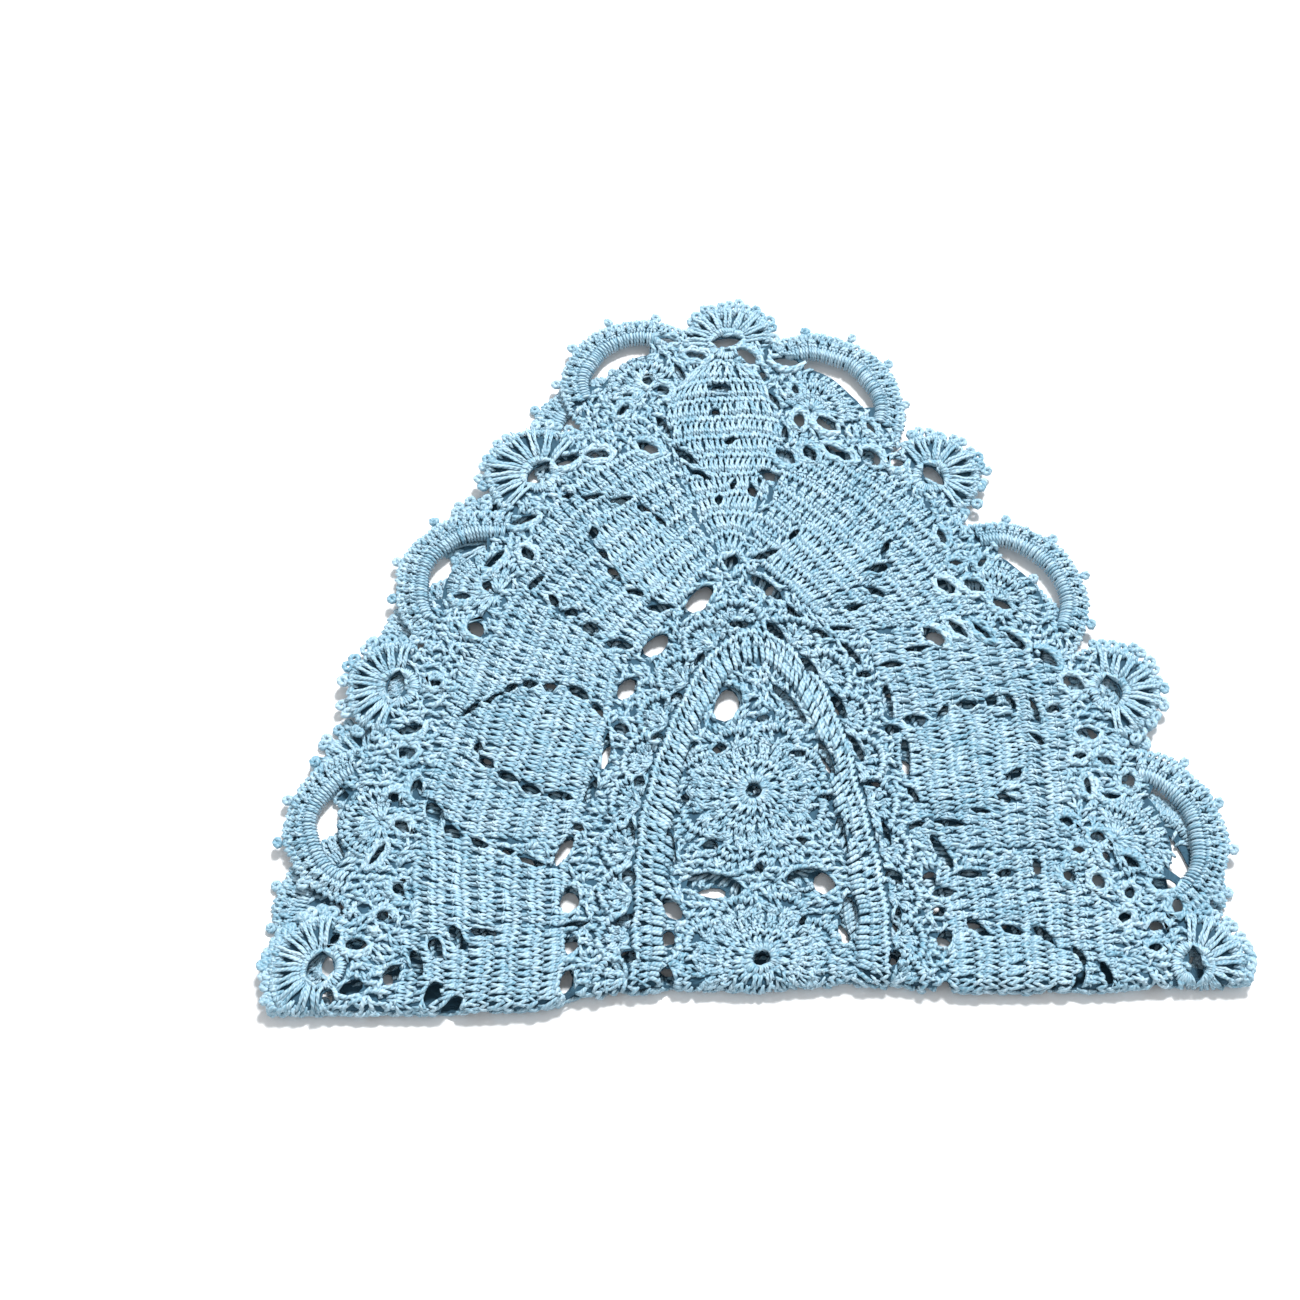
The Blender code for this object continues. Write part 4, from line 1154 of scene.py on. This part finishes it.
def rims(holes, steps, lobes, out_by, swing, height, radius):
    """Two threads twisted round each opening."""
    t = np.linspace(0, 2 * math.pi, steps, endpoint=False)
    rings = np.array([stations(np.vstack([hole, hole[:1]]), steps)[:-1] for hole in holes])
    out = rings - np.array([hole.mean(0) for hole in holes])[:, None]
    out /= lengths(out)[..., None]
    parts = []
    for angle in (t * lobes, t * lobes + math.pi):
        shaky = chance.normal(0, 0.12, (2, len(holes), steps))
        plan = rings + out * (out_by + swing * np.cos(angle) + shaky[0])[..., None]
        parts.append(laid_tubes(plan, height + swing * np.sin(angle) + shaky[1], radius, closed=True))
    return parts


def of_net(hole):
    return (lengths(np.array(NET_GAPS)[:, :2] - hole.mean(0)) < 0.5).any()


net_holes = [hole for hole in openings if is_upper(hole.mean(0)) and of_net(hole)]
net_below = [hole for hole in openings if not is_upper(hole.mean(0)) and of_net(mirrored(hole))]
for hole in net_holes:
    for grow in (0.15, 0.45):
        mark_worked(hole + (hole - hole.mean(0)) * grow)
spun("net", rims(net_holes, steps=20, lobes=6, out_by=1.1, swing=0.6, height=1.1, radius=0.78))
spun("net_under", rims(net_below, steps=12, lobes=4, out_by=1.0, swing=0.5, height=-0.4, radius=0.72))


def joins():
    grid = lattice(np.arange(-160, 161, JOIN_PITCH), np.arange(-264, 274, JOIN_PITCH * 1.15))
    grid[::2, :, 0] += JOIN_PITCH / 2
    grid = grid.reshape(-1, 2) + chance.normal(0, JOIN_STRAY, (grid.size // 2, 2))
    grid = grid[within(grid, outline(2.6, 7.0))]
    across, along = grid[:, 0], grid[:, 1] - np.clip(grid[:, 1], -55, 65)
    turn = np.degrees(np.arctan2(along, across)) + chance.normal(0, JOIN_TURN, len(grid))
    ahead, aside = unit(turn) * JOIN_LONG, unit(turn + 90) * JOIN_WIDE
    quads = [grid - ahead + aside, grid - ahead - aside, grid + ahead - aside, grid + ahead + aside]
    count = len(grid)
    return np.column_stack([
        *quads, chance.uniform(*JOIN_LIFTS, count),
        np.where(chance.random(count) < KNOT_SHARE, A_KNOT, A_CLOSE),
        np.zeros(count), np.where(chance.random(count) < FLIPPED_SHARE, -1, 1),
    ])


work("joins", free_of(joins(), 0.7))

# ----------------------------------------------------------------------
# The edge: a last round of chain along the scallops, and picots, small loops of chain, two on
# each point of the fans and four on each padded arc.
EDGE_PITCH, EDGE_BELOW = 2.3, -0.5
KNOB_SPREAD = 4.3
ARC_PICOTS = (-48, -17, 14, 45)
FAN_PICOT, ARC_PICOT = 1.15, 0.95
FAN_PICOT_IN, ARC_PICOT_IN, PICOT_REACH = 6.6, 2.6, 3.0
PICOT_STEM, PICOT_LOOP = 0.72, 0.86


def edge_chain():
    ring = outline(2.0, 5.6, 1.2)
    closed = np.vstack([ring, ring[:1]])
    count = int(lengths(np.diff(closed, axis=0)).sum() / EDGE_PITCH)
    line = stations(closed, count)[:-1]
    ahead = np.roll(line, -1, axis=0) - np.roll(line, 1, axis=0)
    out = left_of(ahead / lengths(ahead)[:, None])
    inner, outer = line - out * 1.1, line + out * 1.2
    quads = [inner, np.roll(inner, -1, axis=0), np.roll(outer, -1, axis=0), outer]
    return np.column_stack([*quads, np.tile([0.0, A_RIDGE, 0.0, 1.0], (count, 1))])


def picot_places():
    """Foot, outward direction and size of each picot: the fans' points, then the arcs'."""
    places = []
    for fan in FANS:
        for turn in POINT_TURNS:
            for side in (-1, 1):
                out = unit(fan.facing + turn + side * KNOB_SPREAD + chance.normal(0, 1.2))
                reach = fan.radius - FAN_PICOT_IN + chance.normal(0, 0.5)
                places.append([*(middle(fan) + out * reach), *out, FAN_PICOT])
    for arc in ARCS:
        for turn in ARC_PICOTS:
            out = unit(arc.facing + turn + chance.normal(0, 2))
            places.append([*(middle(arc) + out * (arc.outer - ARC_PICOT_IN)), *out, ARC_PICOT])
    places = np.array(places)
    other = places * [1, -1, 1, -1, 1] + [0, 2 * AXIS_Y, 0, 0, 0]
    places = np.vstack([places, other[np.abs(other[:, 1] - AXIS_Y) > 0.1]])
    return places[~within(places[:, :2] + places[:, 2:4] * PICOT_REACH, outline(2.0, 4.5))]


def picots():
    places = picot_places()
    foot, out, size = places[:, None, :2], places[:, None, 2:4], places[:, None, 4:5]
    aside = left_of(out)
    face = np.where(is_upper(places[:, :2])[:, None], 1.0, EDGE_BELOW)
    parts = []
    t = np.linspace(0, 1, 3)[None, :, None]
    for lean in (-1, 1):
        plan = foot + out * (3.4 * size * t - 1.6) + aside * lean * (1.0 - 0.3 * t)
        height = face * (0.3 + 0.5 * np.sin(math.pi * t[..., 0]) + 0.2 * lean)
        parts.append(laid_tubes(plan, height, PICOT_STEM))
    t = np.linspace(0, 2 * math.pi, 8, endpoint=False)[None, :, None]
    centre = foot + out * (3.2 * size) + chance.normal(0, 0.35, foot.shape)
    wide, high = (size * chance.uniform(0.85, 1.35, size.shape) for _ in range(2))
    plan = centre + wide * aside * np.cos(t) + high * out * np.sin(t)
    height = face * (0.5 + 0.5 * np.sin(2 * t[..., 0]) + chance.normal(0, 0.25, (len(places), 1)))
    return parts + [laid_tubes(plan, height, PICOT_LOOP, closed=True, sides=6)]


chain = edge_chain()
top = is_upper(corners(chain).mean(1))
spun("edge", hooked(chain[top]) + hooked(chain[~top], EDGE_BELOW) + picots())

# ----------------------------------------------------------------------
# The half underneath: the same cotton, worked in one with the upper half and seen through the
# openings and past the edge on the left. One strand stands for each of its stitches.


def plain_strands(rows):
    """One strand to a stitch, for what lies underneath."""
    ridge = (rows[:, KIND] == A_RIDGE)[:, None, None]
    t = np.linspace(0, 1, 3)[None, :, None]
    slide = (0.06 * chance.normal(0, 1, len(rows)) + PAIRED * rows[:, PAIR])[:, None, None]
    u = np.where(ridge, 1.3 * t - 0.15, 0.5 + slide + 0.1 * (t - 0.5))
    v = np.where(ridge, 0.5 - 0.5 * (t - 0.5), 1.15 * t - 0.08)
    height = -0.15 - 0.25 * np.sin(math.pi * t[..., 0]) - 0.4 * ridge[..., 0]
    return [laid_tubes(in_each(corners(rows)[:, :, None], u, v), height, 1.3 * YARN)]


spun("under_half", plain_strands(np.vstack(under)))

# ----------------------------------------------------------------------
# The setting: a plain white surface, soft light from behind and above, and the camera, which
# looks down at the doily from in front of the fold.
FLOOR_SIZE, FLOOR_DROP = 4.0, 0.0002
WORLD_LIGHT = 0.70
KEY_PLACE, KEY_SIZE, KEY_POWER = Vector((0.55, 1.65, 2.90)), 0.60, 160.0
LOOK = np.array([-33.545, 121.742]) - PLAN_CENTRE
ELEVATION, DISTANCE = 61.0, 720.0

bpy.ops.object.select_all(action="DESELECT")
bpy.ops.mesh.primitive_plane_add(size=FLOOR_SIZE, location=(0, 0, -FLOOR_DROP))
floor = bpy.context.object
floor.name = "floor"
paper = Finish("white_surface")
floor.data.materials.append(paper.surface({"Base Color": (0.86, 0.87, 0.88, 1), "Roughness": 0.8}))

world = bpy.data.worlds.new("studio")
world.use_nodes = True
world.node_tree.nodes["Background"].inputs[0].default_value = (1.0, 1.0, 1.0, 1)
world.node_tree.nodes["Background"].inputs[1].default_value = WORLD_LIGHT
bpy.context.scene.world = world
bpy.context.scene.view_settings.view_transform = "Standard"

light = bpy.data.lights.new("key", "AREA")
light.size, light.energy = KEY_SIZE, KEY_POWER
key = bpy.data.objects.new("key", light)
bpy.context.scene.collection.objects.link(key)
key.location = KEY_PLACE
key.rotation_euler = KEY_PLACE.to_track_quat("Z", "Y").to_euler()

camera = bpy.data.cameras.new("camera")
camera.lens, camera.sensor_width = 2100 / 1300 * 36, 36.0
eye = bpy.data.objects.new("camera", camera)
bpy.context.scene.collection.objects.link(eye)
down = math.radians(ELEVATION)
back, up = DISTANCE * math.cos(down), DISTANCE * math.sin(down)
eye.location = (LOOK[0] * MM, (LOOK[1] - back) * MM, up * MM)
eye.rotation_euler = (math.radians(90 - ELEVATION), 0, 0)
bpy.context.scene.camera = eye
